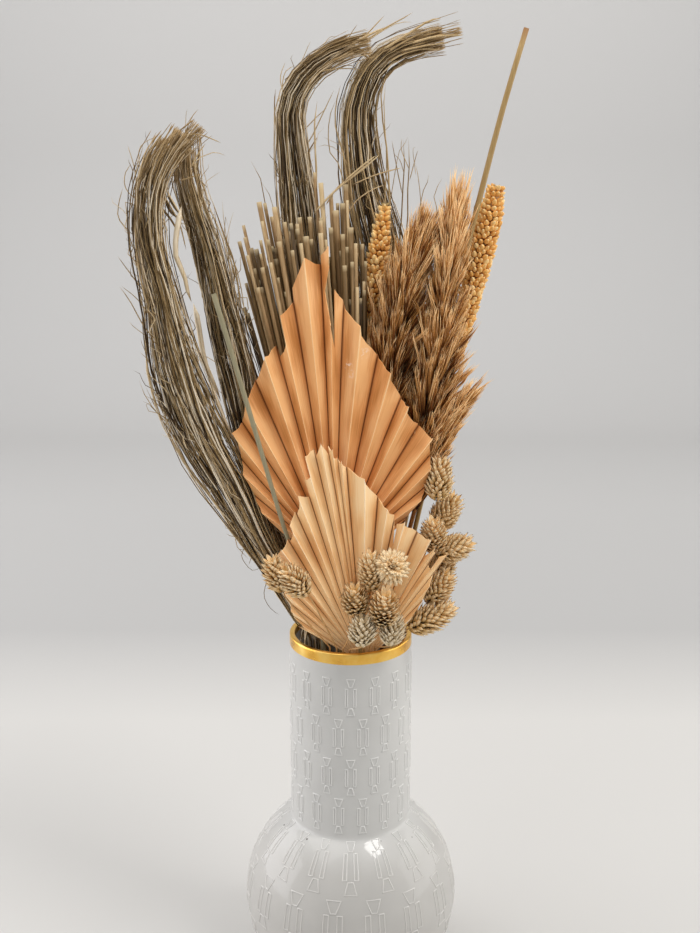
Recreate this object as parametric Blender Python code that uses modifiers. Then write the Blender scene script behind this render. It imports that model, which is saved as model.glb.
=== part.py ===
# Vase of dried flowers: a white porcelain vase with a round body and a straight neck, holding
# pleated palm leaves, bundles of fine grass, cut reeds, feathery reed plumes, millet spikes and
# canary grass heads. Metres, +Z up, origin at the middle of the vase's foot. The front is -Y.

import math
import random

import bmesh
import bpy
from mathutils import Matrix, Vector
from mathutils.bvhtree import BVHTree

MM = 0.001

# Vase, in millimetres
VASE_HEIGHT = 248.0
NECK_RADIUS = 39.0
NECK_BASE_Z = 121.0
GLOBE_RADIUS = 70.0
WALL = 3.5
FLOOR_THICKNESS = 5.0
RIM_ROUND = 1.2
FOOT_BEVEL = 1.0
VASE_STEPS = 40

# How every stalk stands: its foot is nearer the vase's axis than the place where it passes the mouth
FOOT_GAP = 0.3
FOOT_DRAW_IN = 0.62
MOUTH_Z = 246.0

# Blades and strands
BLADE_THICKNESS = 0.9
WELD = 0.001
SHARP_ANGLE = 40.0

PORCELAIN = ("porcelain", (0.80, 0.80, 0.78), 0.18)
PALM_DEEP = ("dried_palm_deep", (0.66, 0.34, 0.13), 0.6)
PALM_PALE = ("dried_palm_pale", (0.76, 0.47, 0.22), 0.6)
GRASS = ("dried_grass", (0.24, 0.19, 0.11), 0.75)
STRAW = ("dried_straw", (0.33, 0.27, 0.15), 0.6)
PLUME = ("reed_plume", (0.44, 0.24, 0.11), 0.85)
MILLET = ("millet_seed", (0.66, 0.36, 0.11), 0.6)
CANARY = ("canary_grass", (0.62, 0.47, 0.24), 0.8)


# Scene and collections

def clear_scene():
    for obj in list(bpy.data.objects):
        bpy.data.objects.remove(obj)


def make_collection(name):
    collection = bpy.data.collections.new(name)
    bpy.context.scene.collection.children.link(collection)
    return collection


def finish_for(obj, look):
    """Gives the object its material, and smooth shading that stops at its edges."""
    obj.data.shade_smooth()
    obj.data.set_sharp_from_angle(angle=math.radians(SHARP_ANGLE))
    name, colour, roughness = look
    material = bpy.data.materials.get(name)
    if material is None:
        material = bpy.data.materials.new(name)
        material.use_nodes = True
        shader = material.node_tree.nodes["Principled BSDF"]
        shader.inputs["Base Color"].default_value = (*colour, 1.0)
        shader.inputs["Roughness"].default_value = roughness
        shader.inputs["Metallic"].default_value = 0.0
    obj.data.materials.clear()
    obj.data.materials.append(material)


def add_object(name, data, collection):
    obj = bpy.data.objects.new(name, data)
    collection.objects.link(obj)
    return obj


def mesh_from(obj):
    """A plain mesh of the object as it is evaluated, in world space."""
    bpy.context.view_layer.update()
    graph = bpy.context.evaluated_depsgraph_get()
    mesh = bpy.data.meshes.new_from_object(obj.evaluated_get(graph))
    mesh.transform(obj.matrix_world)
    return mesh


def bake(obj, collection):
    """Replaces an object by the mesh that it evaluates to, with its caps welded on."""
    mesh = mesh_from(obj)
    work = bmesh.new()
    work.from_mesh(mesh)
    bmesh.ops.remove_doubles(work, verts=work.verts, dist=WELD * MM)
    bmesh.ops.recalc_face_normals(work, faces=work.faces)
    work.to_mesh(mesh)
    work.free()
    name = obj.name
    bpy.data.objects.remove(obj)
    return add_object(name, mesh, collection)


# Keeping one plant clear of another

class Neighbours:
    """Search trees of what already stands in the vase."""

    def __init__(self):
        self.trees = []

    @staticmethod
    def tree(mesh):
        corners = [v.co for v in mesh.vertices]
        return BVHTree.FromPolygons(corners, [tuple(p.vertices) for p in mesh.polygons])

    def add(self, obj):
        self.trees.append(self.tree(mesh_from(obj)))

    def clear_of(self, mesh):
        own = self.tree(mesh)
        return not any(own.overlap(other) for other in self.trees)


# Routes

def smooth_route(points, count):
    """A number of points, evenly spaced, on the smooth curve through the given ones."""
    ends = [points[0] * 2 - points[1], *points, points[-1] * 2 - points[-2]]
    fine = []
    for a, b, c, d in zip(ends, ends[1:], ends[2:], ends[3:]):
        for step in range(12):
            t = step / 12
            fine.append(0.5 * (2 * b + (c - a) * t + (2 * a - 5 * b + 4 * c - d) * t ** 2
                               + (3 * b - a - 3 * c + d) * t ** 3))
    fine.append(points[-1])
    lengths = [0.0]
    for a, b in zip(fine, fine[1:]):
        lengths.append(lengths[-1] + (b - a).length)
    route, i = [], 0
    for k in range(count):
        wanted = lengths[-1] * k / (count - 1)
        while i < len(fine) - 2 and lengths[i + 1] < wanted:
            i += 1
        share = (wanted - lengths[i]) / max(lengths[i + 1] - lengths[i], 1e-9)
        route.append(fine[i].lerp(fine[i + 1], min(share, 1.0)))
    return route


def along(route, t):
    """The point at a share t of a route, and the route's direction there."""
    place = min(max(t, 0.0), 0.9999) * (len(route) - 1)
    i = int(place)
    return route[i].lerp(route[i + 1], place - i), (route[i + 1] - route[i]).normalized()


def value_at(values, t):
    """A value at a share t of a list whose entries are evenly spaced."""
    place = min(max(t, 0.0), 0.9999) * (len(values) - 1)
    i = int(place)
    return values[i] + (values[i + 1] - values[i]) * (place - i)


def foot_under(slot):
    """Where a stalk that passes the mouth at slot stands on the vase's floor."""
    return Vector((slot[0] * FOOT_DRAW_IN, slot[1] * FOOT_DRAW_IN, FLOOR_THICKNESS + FOOT_GAP))


def at_mouth(slot, z=MOUTH_Z):
    return Vector((slot[0], slot[1], z))


# Shapes that repeat

def section(sides, groove):
    """A small closed outline that a strand is drawn with. Every other corner is drawn in to groove."""
    name = f"section_{sides}_{round(groove * 100)}"
    if name in bpy.data.objects:
        return bpy.data.objects[name]
    curve = bpy.data.curves.new(name, "CURVE")
    spline = curve.splines.new("POLY")
    spline.points.add(sides - 1)
    for i, point in enumerate(spline.points):
        turn = 2 * math.pi * i / sides
        reach = groove if i % 2 else 1.0
        point.co = (math.cos(turn) * reach * MM, math.sin(turn) * reach * MM, 0.0, 1.0)
    spline.use_cyclic_u = True
    obj = add_object(name, curve, bpy.data.collections["guides"])
    obj.hide_render = True
    obj.display_type = "WIRE"
    return obj


def strand(name, route, radii, sides, collection, groove=1.0):
    """A stalk or strand with its own radius, in millimetres, at each point of the route."""
    curve = bpy.data.curves.new(name, "CURVE")
    curve.dimensions = "3D"
    curve.bevel_mode = "OBJECT"
    curve.bevel_object = section(sides, groove)
    curve.use_fill_caps = True
    spline = curve.splines.new("POLY")
    spline.points.add(len(route) - 1)
    for point, place, radius in zip(spline.points, route, radii):
        point.co = (*(place * MM), 1.0)
        point.radius = radius
    return bake(add_object(name, curve, collection), collection)


def fused(name, body, pieces, collection, look):
    """The body with its pieces joined to it in one solid, and the pieces removed.
    MANIFOLD, because EXACT takes minutes on a bundle of strands."""
    extras = bpy.data.collections.new(f"{name}_pieces")
    for piece in pieces:
        extras.objects.link(piece)
    join = body.modifiers.new("join", "BOOLEAN")
    join.operation = "UNION"
    join.operand_type = "COLLECTION"
    join.collection = extras
    join.solver = "MANIFOLD"
    whole = add_object(name, mesh_from(body), collection)
    for obj in [body, *pieces]:
        bpy.data.objects.remove(obj)
    bpy.data.collections.remove(extras)
    finish_for(whole, look)
    return whole


def studded(name, route, radii, sides, rings, stud, lift, collection):
    """A spike, head or plume whose surface is drawn out into staggered studs, one for each seed,
    scale or tuft. radii gives the radius at equal steps along the route."""
    mesh = bpy.data.meshes.new(name)
    work = bmesh.new()
    bmesh.ops.create_uvsphere(work, u_segments=sides, v_segments=rings, radius=1.0)
    for vert in work.verts:
        share = 1 - math.acos(max(-1.0, min(1.0, vert.co.z))) / math.pi
        ring = round(share * rings)
        turn = math.atan2(vert.co.y, vert.co.x)
        column = round(turn / (2 * math.pi) * sides)
        centre, heading = along(route, share)
        if ring in (0, rings):
            vert.co = centre
            continue
        across = heading.cross(Vector((0, 1, 0))).normalized()
        through = heading.cross(across)
        out = (ring + column) % 2
        reach = value_at(radii, share) + out * stud
        vert.co = (centre + across * math.cos(turn) * reach + through * math.sin(turn) * reach
                   + heading * out * lift)
    bmesh.ops.triangulate(work, faces=work.faces)
    bmesh.ops.recalc_face_normals(work, faces=work.faces)
    bmesh.ops.scale(work, vec=(MM, MM, MM), verts=work.verts)
    work.to_mesh(mesh)
    work.free()
    return add_object(name, mesh, collection)


# Vase

def arc(centre_z, radius, first, last, steps):
    """Points on a circle about the axis's point at centre_z; angles are from straight down."""
    points = []
    for k in range(steps + 1):
        angle = math.radians(first + (last - first) * k / steps)
        points.append((radius * math.sin(angle), centre_z - radius * math.cos(angle)))
    return points


def angle_at(radius, globe):
    return math.degrees(math.asin(radius / globe))


def vase_profile():
    centre_z = NECK_BASE_Z - math.sqrt(GLOBE_RADIUS ** 2 - NECK_RADIUS ** 2)
    inner_globe, inner_neck = GLOBE_RADIUS - WALL, NECK_RADIUS - WALL
    floor_rise = centre_z - FLOOR_THICKNESS
    inner_first = math.degrees(math.acos(floor_rise / inner_globe))
    inside = arc(centre_z, inner_globe, inner_first, 180 - angle_at(inner_neck, inner_globe), 4)
    rim = [(inner_neck, VASE_HEIGHT - RIM_ROUND), (inner_neck + RIM_ROUND, VASE_HEIGHT),
           (NECK_RADIUS - RIM_ROUND, VASE_HEIGHT), (NECK_RADIUS, VASE_HEIGHT - RIM_ROUND)]
    foot_first = math.degrees(math.acos((centre_z - FOOT_BEVEL) / GLOBE_RADIUS))
    outside = arc(centre_z, GLOBE_RADIUS, 180 - angle_at(NECK_RADIUS, GLOBE_RADIUS), foot_first, 10)
    foot = [(outside[-1][0] - FOOT_BEVEL, 0.0), (0.0, 0.0)]
    return [(0.0, FLOOR_THICKNESS), *inside, *rim, *outside, *foot]


def make_vase(collection):
    """Turned porcelain body: a globe with a flat foot, and a straight neck with a rounded rim."""
    mesh = bpy.data.meshes.new("vase")
    work = bmesh.new()
    verts = [work.verts.new((r * MM, 0.0, z * MM)) for r, z in vase_profile()]
    for a, b in zip(verts, verts[1:]):
        work.edges.new((a, b))
    work.to_mesh(mesh)
    work.free()
    vase = add_object("vase", mesh, collection)
    turn = vase.modifiers.new("turn", "SCREW")
    turn.steps = turn.render_steps = VASE_STEPS
    turn.use_merge_vertices = True
    turn.merge_threshold = WELD * MM
    vase = bake(vase, collection)
    finish_for(vase, PORCELAIN)
    return vase


# Palm leaves

# Each fold line is (angle from upright in degrees, its length from the hub in millimetres), left to
# right, and the folds alternate to the front and to the back. A slit's corners are (x, z).
LARGE_LEAF = {
    "hub": Vector((-9.7, -12, 297)), "slot": (-5, -9), "lean": -0.02, "cup": 0.0006, "fold": 0.36,
    "folds": [(-59, 36), (-53, 54), (-48.5, 66), (-44, 78), (-40.5, 88), (-36.5, 101), (-32, 104),
              (-27.5, 113), (-22.5, 122), (-17.5, 137), (-14, 137), (-11.2, 156), (-8.2, 162),
              (-5.2, 188), (-2.2, 183), (-0.9, 194), (2, 163), (6.2, 148), (11.2, 133), (15.5, 126),
              (20.9, 114), (24.5, 107), (30.2, 101), (36.2, 98), (40, 90), (43.5, 86), (48.5, 76),
              (52, 66), (56, 54), (60, 38)],
    "slit": [(-9.4, 432), (-15.3, 466), (-10.6, 492), (-6.5, 492), (-9.2, 469)],
    "look": PALM_DEEP,
}
SMALL_LEAF = {
    "hub": Vector((9.6, -24, 236.6)), "slot": (8.5, -19), "lean": -0.05, "cup": 0.0008, "fold": 0.36,
    "folds": [(-60, 40), (-54.5, 51), (-48.5, 62), (-42.5, 75), (-37, 89), (-32.5, 93), (-28.5, 99),
              (-25, 104), (-21.5, 106), (-18.5, 118), (-15.2, 136), (-13, 142), (-11, 142), (-9, 131),
              (-7, 134), (-5, 125), (-1.3, 121), (1.8, 112), (5.6, 105), (10, 96), (14.5, 95),
              (18, 90), (22, 90), (26.1, 88), (28.5, 73), (31, 81), (34.4, 69), (38, 61), (41.5, 47),
              (44.5, 34)],
    "slit": [(24.4, 305), (26.2, 326), (26.6, 340), (31.5, 340), (30.4, 330)],
    "look": PALM_PALE,
}
HUB_RADIUS = 6.0
FOLD_FROM = 16.0
FOLD_FULL = 46.0
LEAF_ROWS = 3
PETIOLE_RADIUS = 2.2
SLIT_DEPTH = 12.0


def leaf_point(leaf, angle, radius):
    """A point of the leaf's middle surface: a flat fan that leans and curls back at its sides."""
    turn = math.radians(angle)
    side = math.sin(turn) * radius
    hub = leaf["hub"]
    depth = leaf["lean"] * radius + leaf["cup"] * side ** 2
    return Vector((hub.x + side, hub.y + depth, hub.z + math.cos(turn) * radius))


def slit_cutter(name, corners, depth):
    """A flat wedge that stands through the leaf."""
    curve = bpy.data.curves.new(name, "CURVE")
    curve.dimensions = "2D"
    curve.fill_mode = "BOTH"
    curve.extrude = SLIT_DEPTH * MM
    spline = curve.splines.new("POLY")
    spline.points.add(len(corners) - 1)
    for point, (x, z) in zip(spline.points, corners):
        point.co = (x * MM, z * MM, 0.0, 1.0)
    spline.use_cyclic_u = True
    cutter = add_object(name, curve, bpy.data.collections["cutters"])
    cutter.location = (0.0, depth * MM, 0.0)
    cutter.rotation_euler = (math.radians(90), 0.0, 0.0)
    cutter = bake(cutter, bpy.data.collections["cutters"])
    cutter.hide_render = True
    cutter.display_type = "WIRE"
    return cutter


def make_leaf(name, leaf, collection):
    """A pleated fan, one fold line for each ray from the hub, on a round stalk."""
    folds = leaf["folds"]
    rays = len(folds) - 1
    mesh = bpy.data.meshes.new(name)
    work = bmesh.new()
    bmesh.ops.create_grid(work, x_segments=rays, y_segments=LEAF_ROWS, size=1.0)
    for vert in work.verts:
        ray = round((vert.co.x + 1) / 2 * rays)
        angle, reach = folds[ray]
        radius = HUB_RADIUS + (reach - HUB_RADIUS) * (vert.co.y + 1) / 2
        gap = (folds[min(ray + 1, rays)][0] - folds[max(ray - 1, 0)][0]) / 2
        opening = min(1.0, max(0.0, (radius - FOLD_FROM) / (FOLD_FULL - FOLD_FROM)))
        rise = (1 if ray % 2 else -1) * opening * leaf["fold"] * radius * math.radians(gap)
        vert.co = (leaf_point(leaf, angle, radius) - Vector((0, rise, 0))) * MM
    bmesh.ops.triangulate(work, faces=work.faces)
    work.to_mesh(mesh)
    work.free()
    blade = add_object(f"{name}_blade", mesh, collection)
    wall = blade.modifiers.new("wall", "SOLIDIFY")
    wall.thickness = BLADE_THICKNESS * MM
    wall.offset = 0.0
    slit = blade.modifiers.new("slit", "BOOLEAN")
    slit.operation = "DIFFERENCE"
    slit.object = slit_cutter(f"{name}_slit", leaf["slit"], leaf["hub"].y)
    slit.solver = "EXACT"
    blade = bake(blade, collection)
    middle = (folds[0][0] + folds[-1][0]) / 2
    points = [foot_under(leaf["slot"]), at_mouth(leaf["slot"], min(MOUTH_Z, leaf["hub"].z - 12)),
              leaf_point(leaf, middle, HUB_RADIUS), leaf_point(leaf, middle, HUB_RADIUS * 3)]
    radii = [PETIOLE_RADIUS, PETIOLE_RADIUS, PETIOLE_RADIUS * 0.9, 0.5]
    stalk = strand(f"{name}_stalk", points, radii, 8, collection)
    return fused(name, stalk, [blade], collection, leaf["look"])


# Bundles of fine grass

# Each route starts at the mouth. Width, depth and core are half the bundle's and the core's radius,
# at equal steps along the route; the strands leave the core at "from".
OUTER_GRASS = {
    "slot": (-25, -3), "seed": 11, "strands": 25, "from": 0.0,
    "route": [(-27, -3, 262), (-57, -3, 317), (-85, -5, 368), (-106, -6, 440), (-116, -6, 500),
              (-112, -6, 533), (-102, -5, 549), (-88, -4, 553)],
    "width": [6, 12, 15, 15, 13, 10, 9.5, 8], "depth": [6, 9, 10, 10, 9, 8.5, 8, 6],
    "core": [6, 6.6, 7.2, 7.2, 7, 6.8, 5.6, 1.5],
}
INNER_GRASS = {
    "slot": (-19, 14), "seed": 12, "strands": 19, "from": 0.0,
    "route": [(-21, 14, 262), (-41, 14, 305), (-62, 15, 352), (-78, 16, 420), (-89, 16, 485),
              (-97, 14, 525), (-100, 12, 543), (-95, 11, 552)],
    "width": [6, 9, 12, 12.5, 12, 10, 8, 6], "depth": [6, 8, 9, 9, 8.5, 8, 7, 5],
    "core": [6, 6.2, 6.6, 6.6, 6.4, 6, 4.6, 1.5],
}
TOP_LEFT_GRASS = {
    "slot": (-8, 28), "seed": 13, "strands": 16, "from": 0.45,
    "route": [(-10, 29, 262), (-17, 32, 330), (-24, 36, 410), (-29, 38, 470), (-33, 39, 515),
              (-38, 39, 548), (-37, 39, 570), (-29, 39, 588), (-16, 38, 600), (4, 36, 605), (26, 34, 613)],
    "width": [4, 5, 6, 7, 8, 9, 10, 9, 7], "depth": [4, 5, 6, 7, 7.5, 8, 8, 7, 5],
    "core": [4.2, 4.5, 5.2, 5.8, 6.2, 6.6, 6.6, 5.2, 1.5],
}
TOP_RIGHT_GRASS = {
    "slot": (6, 28.5), "seed": 14, "strands": 18, "from": 0.45,
    "route": [(8, 30, 262), (17, 34, 330), (23, 38, 400), (23, 41, 460), (19, 43, 495), (12, 45, 520),
              (6, 46, 545), (6, 47, 567), (13, 47, 586), (26, 48, 598), (43, 48, 606), (66, 47, 612)],
    "width": [4, 5, 6, 8, 11, 13, 13, 9, 6], "depth": [4, 5, 6, 7, 8, 8, 8, 7, 5],
    "core": [4.2, 4.5, 5.2, 5.8, 6.4, 6.8, 6.8, 5.4, 1.5],
}
STRAND_RADIUS = 1.0
STRAND_POINTS = 8
CORE_POINTS = 13
CORE_SIDES = 12
CORE_GROOVE = 0.72
TRIES = 6


def bundle_point(bundle, route, t, a, b):
    """The place in the bundle at a share t of its length, a across it and b through it."""
    centre, heading = along(route, t)
    across = heading.cross(Vector((0, 1, 0))).normalized()
    through = heading.cross(across)
    return (centre + across * a * value_at(bundle["width"], t)
            + through * b * value_at(bundle["depth"], t))


def make_grass(name, bundle, collection, neighbours):
    """A ribbed core from the vase's floor, inside a sheaf of separate strands."""
    draw = random.Random(bundle["seed"])
    route = smooth_route([Vector(p) for p in bundle["route"]], 60)
    points = [foot_under(bundle["slot"]), at_mouth(bundle["slot"])]
    radii = [bundle["core"][0] * 0.8, bundle["core"][0]]
    for k in range(CORE_POINTS):
        t = 0.97 * (k / (CORE_POINTS - 1)) ** 0.8
        points.append(along(route, t)[0])
        radii.append(value_at(bundle["core"], t))
    core = strand(f"{name}_core", points, radii, CORE_SIDES, collection, CORE_GROOVE)
    strands = []
    for k in range(bundle["strands"]):
        for attempt in range(TRIES):
            turn = k * 2.39996 + attempt * 0.7
            far = draw.uniform(0.98, 1.12)
            end = draw.uniform(0.9, 1.0) if k % 4 else draw.uniform(0.7, 0.9)
            places = []
            for step in range(STRAND_POINTS):
                share = 1 - (1 - step / (STRAND_POINTS - 1)) ** 1.4
                t = bundle["from"] + (end - bundle["from"]) * share
                spread = far * min(1.0, 0.5 + step / 4)
                places.append(bundle_point(bundle, route, t, spread * math.cos(turn),
                                           spread * math.sin(turn)))
            thin = [STRAND_RADIUS * (1.15 - 0.75 * k / STRAND_POINTS) for k in range(STRAND_POINTS)]
            piece = strand(f"{name}_{k}", places, thin, 3, collection)
            if neighbours.clear_of(piece.data):
                strands.append(piece)
                break
            bpy.data.objects.remove(piece)
    return fused(name, core, strands, collection, GRASS)


# Cut reeds, a fan of straight stalks

REEDS = {
    "slot": (0, 12), "core": 8.0, "count": 40, "seed": 21, "radius": (1.6, 2.0),
    "top_centre": Vector((-27, 19, 500)), "top_half": (40, 7), "crown": 26,
}


def make_reeds(name, reeds, collection, neighbours):
    """Straight stalks cut off square at staggered heights, highest in the middle of the fan."""
    draw = random.Random(reeds["seed"])
    core_top = at_mouth(reeds["slot"]) + Vector((-2, 1, 22))
    core = strand(f"{name}_core", [foot_under(reeds["slot"]), at_mouth(reeds["slot"]), core_top],
                  [reeds["core"] * 0.75, reeds["core"], reeds["core"] * 0.95], 10, collection)
    stalks = []
    for k in range(reeds["count"]):
        across = 2 * (k + 0.5) / reeds["count"] - 1
        through = (-0.9, 0.1, 0.9, -0.4, 0.5)[k % 5]
        for attempt in range(TRIES):
            rise = reeds["crown"] * (1 - across ** 2) - draw.uniform(0, 34)
            if k % 5 == 0:
                rise -= draw.uniform(28, 44)
            top = reeds["top_centre"] + Vector((across * reeds["top_half"][0],
                                                through * reeds["top_half"][1], rise))
            root = at_mouth(reeds["slot"]) + Vector((across * 6.0, through * 5.5, -14))
            radius = draw.uniform(*reeds["radius"])
            piece = strand(f"{name}_{k}", [root, top], [radius, radius], 5, collection)
            if neighbours.clear_of(piece.data):
                stalks.append(piece)
                break
            bpy.data.objects.remove(piece)
    return fused(name, core, stalks, collection, STRAW)


# Feathery reed plumes

# One stalk foot carries one or two bodies. Radii are a body's, at equal steps from where it starts
# along its route to its tip.
PLUMES = {
    "reed_plume_left": {
        "slot": (15, 7), "seed": 31, "bodies": [{
            "blades": 20, "sides": 10, "rings": 16, "from": 0.44,
            "route": [(15, 8, 262), (15, 11, 320), (19, 12, 375), (25, 12, 420), (31, 12, 460),
                      (38, 13, 494), (41, 13, 507)],
            "radii": [2, 7, 9, 9.5, 9, 7.5, 5.5, 3, 1],
        }],
    },
    "reed_plume_right": {
        "slot": (21, 9), "seed": 32, "bodies": [{
            "blades": 24, "sides": 10, "rings": 20, "from": 0.36,
            "route": [(22, 9, 262), (34, 7, 320), (44, 6, 370), (53, 7, 420), (60, 8, 465),
                      (61, 8, 500), (61, 8, 524)],
            "radii": [2, 7, 9, 10, 10.5, 10, 8.5, 6, 3.5, 1],
        }, {
            "blades": 8, "sides": 8, "rings": 8, "from": 0.52,
            "route": [(23, 8, 262), (36, 5, 310), (46, 2, 350), (58, 0, 380), (69, -2, 398)],
            "radii": [1.5, 4.5, 5.5, 4.5, 3, 1],
        }],
    },
}
PLUME_STALK_RADIUS = 1.4
TUFT_OUT = 2.6
TUFT_LIFT = 6.0
BLADE_LENGTH = 26.0


def plume_blades(name, route, body, draw, neighbours, collection):
    """Side sprays that stand off the body and point up its length."""
    blades = []
    start = body["from"]
    for k in range(body["blades"]):
        share = (k + 0.5) / body["blades"]
        root, heading = along(route, start + (0.94 - start) * share)
        side = heading.cross(Vector((0, 1, 0))).normalized()
        wide = value_at(body["radii"], share)
        for attempt in range(TRIES):
            turn = k * 2.39996 + attempt * 1.1
            out = side * math.cos(turn) + heading.cross(side) * math.sin(turn)
            length = BLADE_LENGTH * draw.uniform(0.8, 1.15) * (1 - 0.3 * share)
            foot = root + out * wide * 0.6
            middle = root + out * (wide + 2.0) + heading * length * 0.5
            tip = root + out * (wide + draw.uniform(3.0, 6.0)) + heading * length
            piece = strand(f"{name}_{k}", [foot, middle, tip], [0.8, 1.5, 0.2], 3, collection)
            if neighbours.clear_of(piece.data):
                blades.append(piece)
                break
            bpy.data.objects.remove(piece)
    return blades


def make_plume(name, plume, collection, neighbours):
    """Stalks from one foot that carry bodies of tufts."""
    draw = random.Random(plume["seed"])
    pieces = []
    for body in plume["bodies"]:
        route = smooth_route([Vector(p) for p in body["route"]], 60)
        points = [foot_under(plume["slot"]), at_mouth(plume["slot"])]
        points += [along(route, (body["from"] + 0.1) * k / 4)[0] for k in range(5)]
        stalk = strand(f"{name}_stalk", points, [PLUME_STALK_RADIUS] * len(points), 5, collection)
        first = int(body["from"] * (len(route) - 1))
        head = studded(f"{name}_body", route[first:], body["radii"], body["sides"], body["rings"],
                       TUFT_OUT, TUFT_LIFT, collection)
        pieces += [stalk, head]
        pieces += plume_blades(name, route, body, draw, neighbours, collection)
    return fused(name, pieces[0], pieces[1:], collection, PLUME)


# Millet spikes

MILLETS = {
    "millet_spike_left": {
        "slot": (14, 18.5), "foot": (8, 27, 418), "tip": (21, 26, 514), "radii": (3, 4.6, 5.6, 6, 5.8, 4.8, 3),
    },
    "millet_spike_right": {
        "slot": (27, 13), "foot": (66, 30, 420), "tip": (88, 24, 525), "radii": (3, 4.6, 5.6, 6.6, 7, 6.8, 4.6),
    },
}
MILLET_STALK_RADIUS = 1.5
GRAIN_OUT = 1.4


def make_millet(name, millet, collection):
    """A straight spike covered with grains, on a thin stalk."""
    foot, tip = Vector(millet["foot"]), Vector(millet["tip"])
    aim = tip - foot
    spike = studded(f"{name}_spike", [foot, tip], millet["radii"], 12, 24, GRAIN_OUT, 0.0, collection)
    points = [foot_under(millet["slot"]), at_mouth(millet["slot"])]
    points += smooth_route([at_mouth(millet["slot"], 262), foot.lerp(at_mouth(millet["slot"]), 0.4),
                            foot - aim * 0.08, foot + aim * 0.1], 5)
    stalk = strand(f"{name}_stalk", points, [MILLET_STALK_RADIUS] * len(points), 5, collection)
    return fused(name, stalk, [spike], collection, MILLET)


# Canary grass heads, each on its own stalk

# (slot angle round the mouth in degrees, slot radius, middle of the head, way it points, length, radius)
CANARY_HEADS = [
    (-113, 32.6, (-48, -38, 297), (-0.55, -0.05, 0.83), 24, 6.2),
    (-105, 33.0, (-31, -43, 297), (-0.45, -0.20, 0.87), 26, 6.8),
    (-98, 33.2, (3, -42, 286), (-0.10, -0.35, 0.93), 20, 6.4),
    (-91, 33.4, (6, -47, 268), (0.05, -0.20, 0.97), 20, 6.6),
    (-84, 33.4, (12, -39, 303), (-0.05, -0.10, 0.99), 25, 5.6),
    (-77, 33.2, (19, -48, 282), (0.02, -0.40, 0.91), 25, 7.4),
    (-70, 33.0, (27, -47, 306), (0.30, -0.80, 0.50), 22, 8.2),
    (-63, 32.8, (27, -38, 265), (0.10, -0.05, 0.99), 22, 5.4),
    (-37, 32.6, (53, -21, 267), (0.86, -0.05, 0.48), 28, 7.0),
    (-29, 32.6, (56, -15, 284), (0.60, -0.10, 0.78), 22, 6.4),
    (-21, 32.6, (63, 1, 289), (0.60, 0.05, 0.80), 22, 6.6),
    (-13, 32.6, (51, -15, 316), (0.05, -0.30, 0.95), 24, 6.4),
    (-5, 32.6, (71, -9, 308), (0.88, -0.15, 0.42), 24, 6.8),
    (3, 32.6, (64, 4, 329), (0.50, 0.05, 0.85), 24, 6.6),
    (11, 32.6, (58, -9, 351), (0.12, 0.0, 0.99), 25, 7.0),
]
CANARY_STALK_RADIUS = 0.85
HEAD_SHAPE = (0.2, 0.72, 0.95, 1.0, 0.95, 0.84, 0.64, 0.4, 0.15)
SCALE_OUT = 1.5
SCALE_LIFT = 2.3


def make_canary(name, head, collection):
    """An egg-shaped head of pointed scales on a wiry stalk that leans out over the rim."""
    angle, slot_radius, middle, aim, length, radius = head
    turn = math.radians(angle)
    slot = (slot_radius * math.cos(turn), slot_radius * math.sin(turn))
    aim = Vector(aim).normalized()
    foot = Vector(middle) - aim * length / 2
    tip = Vector(middle) + aim * length / 2
    radii = [radius * share for share in HEAD_SHAPE]
    cone = studded(f"{name}_head", [foot, tip], radii, 10, 9, SCALE_OUT, SCALE_LIFT, collection)
    back = min(6.0, max(1.0, (foot.z - VASE_HEIGHT - 2) * 0.25))
    points = [foot_under(slot)]
    points += smooth_route([at_mouth(slot, VASE_HEIGHT + 1), foot - aim * back, foot + aim * 3], 5)
    stalk = strand(f"{name}_stalk", points, [CANARY_STALK_RADIUS] * len(points), 4, collection)
    return fused(name, stalk, [cone], collection, CANARY)


# Single stalks

LONG_REED = {
    "slot": (23, 19), "look": STRAW, "radii": (2.0, 1.5),
    "route": [(25, 19, 262), (38, 24, 330), (50, 27, 390), (60, 25, 440), (72, 17, 496), (88, 15, 565),
              (101, 14, 613)],
}
FRONT_STRAW = {
    "slot": (-17, -19), "look": STRAW, "radii": (1.5, 2.0),
    "route": [(-19, -20, 262), (-29, -21, 290), (-41, -22, 326), (-60, -22, 396), (-79, -22, 465)],
}

SINGLE_POINTS = 8


def make_single(name, stalk, collection):
    low, high = stalk["radii"]
    route = smooth_route([Vector(p) for p in stalk["route"]], SINGLE_POINTS)
    points = [foot_under(stalk["slot"]), at_mouth(stalk["slot"]), *route]
    radii = [low, low] + [low + (high - low) * k / (SINGLE_POINTS - 1) for k in range(SINGLE_POINTS)]
    piece = strand(name, points, radii, 8, collection)
    finish_for(piece, stalk["look"])
    return piece


def main():
    clear_scene()
    make_collection("guides")
    make_collection("cutters")
    flowers = make_collection("vase_of_dried_flowers")
    neighbours = Neighbours()
    neighbours.add(make_vase(flowers))
    neighbours.add(make_leaf("palm_leaf_large", LARGE_LEAF, flowers))
    neighbours.add(make_leaf("palm_leaf_small", SMALL_LEAF, flowers))
    neighbours.add(make_single("long_reed", LONG_REED, flowers))
    neighbours.add(make_single("front_straw", FRONT_STRAW, flowers))
    for k, head in enumerate(CANARY_HEADS):
        neighbours.add(make_canary(f"canary_grass_{k + 1:02d}", head, flowers))
    for name, millet in MILLETS.items():
        neighbours.add(make_millet(name, millet, flowers))
    neighbours.add(make_reeds("cut_reeds", REEDS, flowers, neighbours))
    for name, bundle in (("grass_left_outer", OUTER_GRASS), ("grass_left_inner", INNER_GRASS),
                         ("grass_top_left", TOP_LEFT_GRASS), ("grass_top_right", TOP_RIGHT_GRASS)):
        neighbours.add(make_grass(name, bundle, flowers, neighbours))
    for name, plume in PLUMES.items():
        neighbours.add(make_plume(name, plume, flowers, neighbours))


main()
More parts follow.
